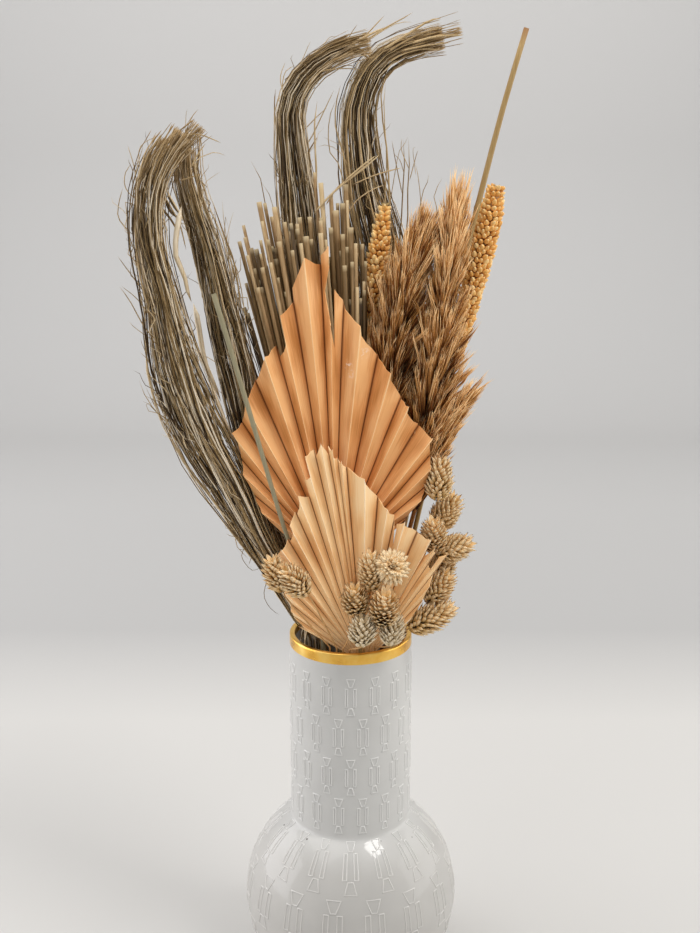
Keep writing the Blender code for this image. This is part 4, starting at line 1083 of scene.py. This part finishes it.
def makeMillet(name, millet, template, materials):
    draw = random.Random(millet["seed"])
    foot, tip = Vector(millet["foot"]), Vector(millet["tip"])
    heading = (tip - foot).normalized()
    across, through = sidesOf(heading)
    length = (tip - foot).length
    places, way, ring = [], 1.0, 0
    while way < length - 1.5:
        wide = valueAt(millet["radii"], way / length)
        count = max(4, round(2 * math.pi * wide / grain["spacing"]))
        for k in range(count):
            turn = 2 * math.pi * (k + 0.5 * (ring % 2) + draw.uniform(-0.16, 0.16)) / count
            out = spoke(across, through, turn)
            size = grain["radius"] * draw.uniform(0.82, 1.10)
            centre = foot + heading * (way + draw.uniform(-0.7, 0.7))
            centre += out * (wide - 0.2 + draw.uniform(-0.5, 0.6))
            lean = (heading + out * draw.uniform(0.8, 1.7)).normalized()
            tall = grain["length"] * draw.uniform(0.85, 1.15)
            matrix = facing(centre, lean, out, (size, size, tall))
            places.append((matrix, draw.uniform(0.35, 0.95), 0.0, 1.0))
        way += grain["ring"]
        ring += 1
    spike = placedShapes("grains", template, places)
    mouth = atMouth(millet["slot"])
    bend = [mouth, foot.lerp(mouth, 0.4), foot - heading * 8, foot + heading * 4, tip - heading * 3]
    points = [*closedFoot(footUnder(millet["slot"])), *smoothRoute(bend, 14)]
    radii = [0.0, grain["stalk"], *[grain["stalk"] + 0.9 * max(0, k - 9) for k in range(13)], 0.0]
    strands = [(points, radii, 0.4)]
    shares = (0.02, 0.2, 0.4, 0.6, 0.8, 0.95)
    core = [foot + heading * length * s for s in (0.0, *shares, 1.0)]
    wides = [0.0, *[max(0.3, valueAt(millet["radii"], s) - 0.6) for s in shares], 0.0]
    heart = strandMesh("heart", [(core, wides, -0.2)], 10)
    for k in range(grain["bristles"]):   # fine bristles between the grains and a tuft at the tip
        s = 1.0 if k < grain["tuft"] else draw.random()
        start = foot + heading * length * s * 0.98
        out = spoke(across, through, draw.uniform(0, 2 * math.pi))
        wide = valueAt(millet["radii"], s) if s < 1 else 1.0
        a = start + out * wide * 0.9
        b = a + out * draw.uniform(0.6, 1.6) + heading * draw.uniform(1.5, 3.0)
        strands.append(([a, a.lerp(b, 0.4), b], [0.0, 0.3, 0.0], 0.9))
    finishPiece(name + "_grains", [spike, heart, strandMesh("stalk", strands, 6)], materials, name)


# Canary grass heads

# slot angle round the mouth in degrees, slot radius, middle, way it points, length, radius, tone;
# a tone below 0 takes the greyer material, one above 1 makes a round tuft seen from its tip
canaryHeads = [
    (-113, 32.6, (-44.5, -38, 300), (-0.30, -0.15, 0.90), 24, 6.6, 0.45),
    (-105, 33.0, (-33.5, -43, 297.5), (-0.55, -0.25, 0.78), 25, 7.2, 0.7),
    (-98, 33.2, (2.7, -42, 285), (-0.10, -0.35, 0.93), 22, 7.4, 0.45),
    (-91, 33.4, (7, -47, 267.5), (0.05, -0.20, 0.97), 21, 7.6, -1),
    (-84, 33.4, (12, -39, 302), (-0.05, -0.10, 0.99), 26, 6.6, 0.6),
    (-77, 33.2, (20, -48, 282), (0.02, -0.40, 0.91), 27, 8.4, 0.65),
    (-70, 33.0, (24.5, -42, 305.5), (0.05, -0.90, 0.42), 12, 10.0, 1.1),
    (-63, 32.8, (25, -38, 265), (0.10, -0.05, 0.99), 22, 6.4, -1),
    (-37, 32.6, (51, -21, 265.5), (0.86, -0.05, 0.48), 32, 8.6, 0.5),
    (-29, 32.6, (55, -15, 283), (0.55, -0.10, 0.82), 25, 7.8, 0.45),
    (-21, 32.6, (58, -1, 293), (0.60, 0.05, 0.80), 24, 7.6, 0.45),
    (-13, 32.6, (51, -15, 317), (-0.05, -0.30, 0.95), 24, 7.6, 0.7),
    (-5, 32.6, (65, -9, 306.5), (0.88, -0.15, 0.42), 25, 7.8, 0.55),
    (3, 32.6, (60, 3, 326.5), (0.50, 0.05, 0.85), 26, 8.0, 0.5),
    (11, 32.6, (54, -9, 352), (0.08, 0.0, 0.99), 28, 8.4, 0.55),
]
glume = {"length": 6.9, "width": 3.1, "rows": 13, "around": 12, "tuftAround": 0.85, "rootOut": 0.64,
         "stalk": 0.5}
headShape = (0.30, 0.72, 0.92, 1.0, 0.98, 0.90, 0.76, 0.55, 0.28)


def glumeTemplate():
    # One boat-shaped scale with a keel, foot at the origin, tip up Z, its back to +Y
    work = bmesh.new()
    bmesh.ops.create_grid(work, x_segments=2, y_segments=4, size=1.0)
    for vert in work.verts:
        across, rise = vert.co.x, (vert.co.y + 1) / 2
        width = math.sin(math.pi * min(1.0, rise * 0.86 + 0.14)) ** 0.8 * (1 - 0.45 * rise ** 3)
        keel = 0.42 * (1 - abs(across)) * width
        vert.co = (across * width * 0.5, keel + 0.25 * rise ** 2 - 0.1, rise)
    bmesh.ops.solidify(work, geom=work.faces[:], thickness=0.12)
    bmesh.ops.recalc_face_normals(work, faces=work.faces)
    return asMesh(work, "glume")


def makeCanary(name, head, template, looks, stalkMaterial):
    angle, slotRadius, middle, aim, length, radius, shade = head
    draw = random.Random(round(angle) + 400)
    turn = math.radians(angle)
    slot = (slotRadius * math.cos(turn), slotRadius * math.sin(turn))
    aim = Vector(aim).normalized()
    foot, tip = Vector(middle) - aim * length / 2, Vector(middle) + aim * length / 2
    across, through = sidesOf(aim)
    tuft = shade > 1
    around = glume["around"] * (glume["tuftAround"] if tuft else 1.0)
    places = []
    for row in range(glume["rows"]):
        share = row / (glume["rows"] - 1)
        wide = valueAt(headShape, 0.04 + share * 0.92) * radius
        count = max(5, round(around * valueAt(headShape, 0.08 + share * 0.86)))
        for k in range(count):
            spin = 2 * math.pi * (k + 0.5 * (row % 2) + draw.uniform(-0.14, 0.14)) / count
            out = spoke(across, through, spin)
            base = foot + aim * (length - glume["length"] * 0.8) * share + out * wide * glume["rootOut"]
            lean = (aim + out * (1.05 - 0.65 * share + draw.uniform(-0.16, 0.18))).normalized()
            if tuft:
                opening = 1.6 * (1 - share) ** 0.8 + draw.uniform(-0.24, 0.24)
                base = Vector(middle) + spoke(aim, out, opening) * (radius - 5)
                opening += 0.45 * (1 - share) + draw.uniform(-0.25, 0.25)
                lean = spoke(aim, out, opening)
                out = aim * math.sin(opening) - out * math.cos(opening)   # its back to the viewer
            size = (glume["width"] * draw.uniform(0.85, 1.1), glume["width"],
                    glume["length"] * draw.uniform(0.85, 1.12))
            tone = 0.27 + 0.45 * abs(shade) + 0.16 * share + draw.uniform(-0.2, 0.2)
            # where each scale's root-to-tip shading starts: the painted shade at the roots is lighter nearer
            # the head's tip and on the tuft
            rooted = 0.1 * share + (0.15 if tuft else 0.0)
            places.append((facing(base, lean, out, size), tone, rooted, 1.0))
    scales = placedShapes("glumes", template, places)
    core = [foot + aim * 1.0, foot + aim * 2, foot.lerp(tip, 0.3), foot.lerp(tip, 0.6), foot.lerp(tip, 0.85)]
    filling = strandMesh("core", [(core, [0.0, radius * 0.5, radius * 0.78, radius * 0.6, 0.0], 0.0)], 8)
    back = clamp((foot.z - vase["height"] - 2) * 0.25, 1.0, 6.0)
    bend = smoothRoute([Vector((*slot, vase["height"] + 1)), foot - aim * back, foot + aim * 3], 8)
    points = [*closedFoot(footUnder(slot)), *bend]
    radii = [0.0, *[glume["stalk"]] * 8, 0.0]
    stalk = strandMesh("stalk", [(points, radii, 0.5)], 6)
    finishPiece(name + "_head", [scales, filling, stalk], [looks, looks, stalkMaterial], name)


# Single stalks

singles = {
    "long_reed": {
        "slot": (23, 19), "radii": (2.0, 1.6), "nodes": (0.34, 0.71),
        "route": [(25, 19, 262), (38, 24, 330), (50, 27, 390), (60, 25, 440), (72, 17, 496), (88, 15, 565),
                  (101, 14, 613)],
    },
    "front_straw": {
        "slot": (-17, -19), "radii": (1.2, 1.6), "nodes": (0.62,),
        "route": [(-19, -20, 262), (-29, -21, 290), (-41, -22, 326), (-60, -22, 396), (-79, -22, 465)],
    },
}


def makeSingle(name, stalk, material):
    low, high = stalk["radii"]
    route = smoothRoute(stalk["route"], 120)
    atNodes = [n + s for n in stalk["nodes"] for s in (-0.012, -0.004, 0, 0.004, 0.012)]
    places = sorted([k / 16 for k in range(17)] + atNodes)
    points, radii = [*closedFoot(footUnder(stalk["slot"])), atMouth(stalk["slot"])], [0.0, low, low]
    for t in places:
        points.append(along(route, t)[0])
        bulge = max(0.0, 1 - min(abs(t - n) for n in stalk["nodes"]) / 0.006)
        radii.append((low + (high - low) * t) * (1 + 0.2 * bulge))
    points.append(points[-1] + along(route, 1.0)[1] * stand["cap"])
    radii.append(0.0)
    finishPiece(name + "_stalk", [strandMesh(name, [(points, radii, 0.6)], 12)], [material], name)


# Set-up of the floor, lights and camera

studio = {
    "camera": (-0.4, -722, 547), "pitch": 14.8, "lens": 46.69, "sensor": 36, "room": ("F2F3F4", 0.56),
    # paper sweep: half its width, near edge, where it bends up, the bend's radius, top
    "half": 1680, "near": -1400, "bendFrom": 1550, "bendRound": 550, "top": 3400,
    # greyer painted shade on the paper, deeper behind the vase: distance behind the vase, shade
    "backdropShade": [(370, "D3D1CE"), (600, "BAB9B8"), (1100, "C1C0BF"), (2100, "C3C2C1")], "backdropShadeEnd": 2200,
}


def makeStage():
    work = bmesh.new()
    start, bend, half = studio["bendFrom"], studio["bendRound"], studio["half"]
    line = [(studio["near"], 0.0), (start, 0.0)]
    for k in range(1, 25):
        turn = math.pi / 2 * k / 24
        line.append((start + bend * math.sin(turn), bend * (1 - math.cos(turn))))
    line.append((start + bend, studio["top"]))
    verts = [work.verts.new((-half * mm, y * mm, z * mm)) for y, z in line]
    edges = [work.edges.new(pair) for pair in zip(verts, verts[1:])]
    made = bmesh.ops.extrude_edge_only(work, edges=edges)["geom"]
    moved = [g for g in made if isinstance(g, bmesh.types.BMVert)]
    bmesh.ops.translate(work, verts=moved, vec=(2 * half * mm, 0, 0))
    bmesh.ops.recalc_face_normals(work, faces=work.faces)
    mesh = asMesh(work, "paper_sweep")
    mesh.shade_smooth()
    material, tree = newMaterial("matt_paper")   # plain studio paper, with painted shade that makes it greyer behind the object
    place = addNode(tree, "TexCoord").outputs["Object"]
    depth = addNode(tree, "SeparateXYZ", {"Vector": place}).outputs["Y"]
    share = addNode(tree, "MapRange", {"Value": depth, "From Min": 0.0, "From Max": studio["backdropShadeEnd"] * mm})
    stops = [(y / studio["backdropShadeEnd"], code) for y, code in studio["backdropShade"]]
    paper = addNode(tree, "ValToRGB", {"Fac": share.outputs["Result"]},
                    stops=[(0.0, stops[0][1]), (1.0, stops[-1][1]), *stops])
    finishShader(tree, {"Base Color": paper.outputs["Color"], "Roughness": 0.9, "Specular IOR Level": 0.1})
    mesh.materials.append(material)
    addObject("paper_sweep", mesh)


# lamp: place, aim, size across and up, power in watts, colour
lamps = {
    "window_softbox": ((640, -420, 1450), (0, 0, 330), 420, 420, 8, "FFFDFA"),
    "ceiling_softbox": ((-560, -160, 1450), (0, 0, 300), 1300, 900, 6.5, "FFFDFA"),
    "left_softbox": ((-1700, 200, 450), (0, 0, 300), 1800, 1700, 20.5, "FDFCFF"),
    "backdrop_softbox": ((0, 1000, 1600), (0, 2100, 700), 2600, 700, 12, "FFFDFA"),
    "right_softbox": ((1700, 200, 450), (0, 0, 300), 1800, 1700, 15.5, "FFFDFA"),
}


def makeLights():
    for name, (place, aim, wide, high, power, colour) in lamps.items():
        data = bpy.data.lights.new(name, "AREA")
        data.shape = "RECTANGLE"
        data.size, data.size_y = wide * mm, high * mm
        data.energy = power
        data.color = toLinear(colour)[:3]
        lamp = addObject(name, data)
        lamp.location = Vector(place) * mm
        lamp.rotation_euler = (Vector(aim) - Vector(place)).to_track_quat("-Z", "Y").to_euler()
    world = bpy.data.worlds.new("room_light")
    world.use_nodes = True
    bpy.context.scene.world = world
    shade, strength = studio["room"]
    world.node_tree.nodes["Background"].inputs["Color"].default_value = toLinear(shade)
    world.node_tree.nodes["Background"].inputs["Strength"].default_value = strength
    bpy.context.scene.view_settings.view_transform = "Standard"   # colours as a photograph shows them


def makeCamera():
    data = bpy.data.cameras.new("camera")
    data.lens = studio["lens"]
    data.sensor_width = studio["sensor"]
    camera = addObject("camera", data)
    camera.location = Vector(studio["camera"]) * mm
    camera.rotation_euler = (math.radians(90 - studio["pitch"]), 0, 0)
    bpy.context.scene.camera = camera


makeCamera()
makeStage()
makeLights()
print("stage ready")

makeVase([glazedPorcelain(), firedGilt()])
print("vase ready")

wiry = driedPlant("wiry_stalk")
deepPalm = driedPalm("dried_palm_deep", largeLeaf["scuffs"])
makeLeaf("large_palm_fan", largeLeaf, "palm_leaf_large", deepPalm, wiry)
palePalm = driedPalm("dried_palm_pale", smallLeaf["scuffs"])
makeLeaf("small_palm_fan", smallLeaf, "palm_leaf_small", palePalm, wiry)
print("palm leaves ready")

grass = driedPlant("dried_grass")
for node, sheaf in sheaves.items():
    finishPiece(node + "_sheaf", [strandMesh(node, sheafStrands(sheaf))], [grass], node)
print("sheaves ready")

makeReeds(driedPlant("dried_reed"))
makeSingle("long_reed", singles["long_reed"], driedPlant("tan_reed"))
makeSingle("front_straw", singles["front_straw"], driedPlant("green_straw"))
print("reeds ready")

down = driedPlant("reed_plume_down")
for node, plume in plumes.items():
    finishPiece(node + "_tufts", [strandMesh(node, plumeStrands(plume))], [down], node)
print("plumes ready")

milletGrain, grainShape = driedPlant("millet_grain"), grainTemplate()
for node, millet in millets.items():
    makeMillet(node, millet, grainShape, [milletGrain, milletGrain, wiry])
print("millet ready")

creamGlume, paleGlume = driedPlant("canary_grass_glume"), driedPlant("pale_canary_glume")
paleStalk, scaleShape = driedPlant("pale_stalk"), glumeTemplate()
for k, head in enumerate(canaryHeads):
    looks = paleGlume if head[6] < 0 else creamGlume
    makeCanary(f"canary_grass_{k + 1:02d}", head, scaleShape, looks, paleStalk)
print("canary grass ready")
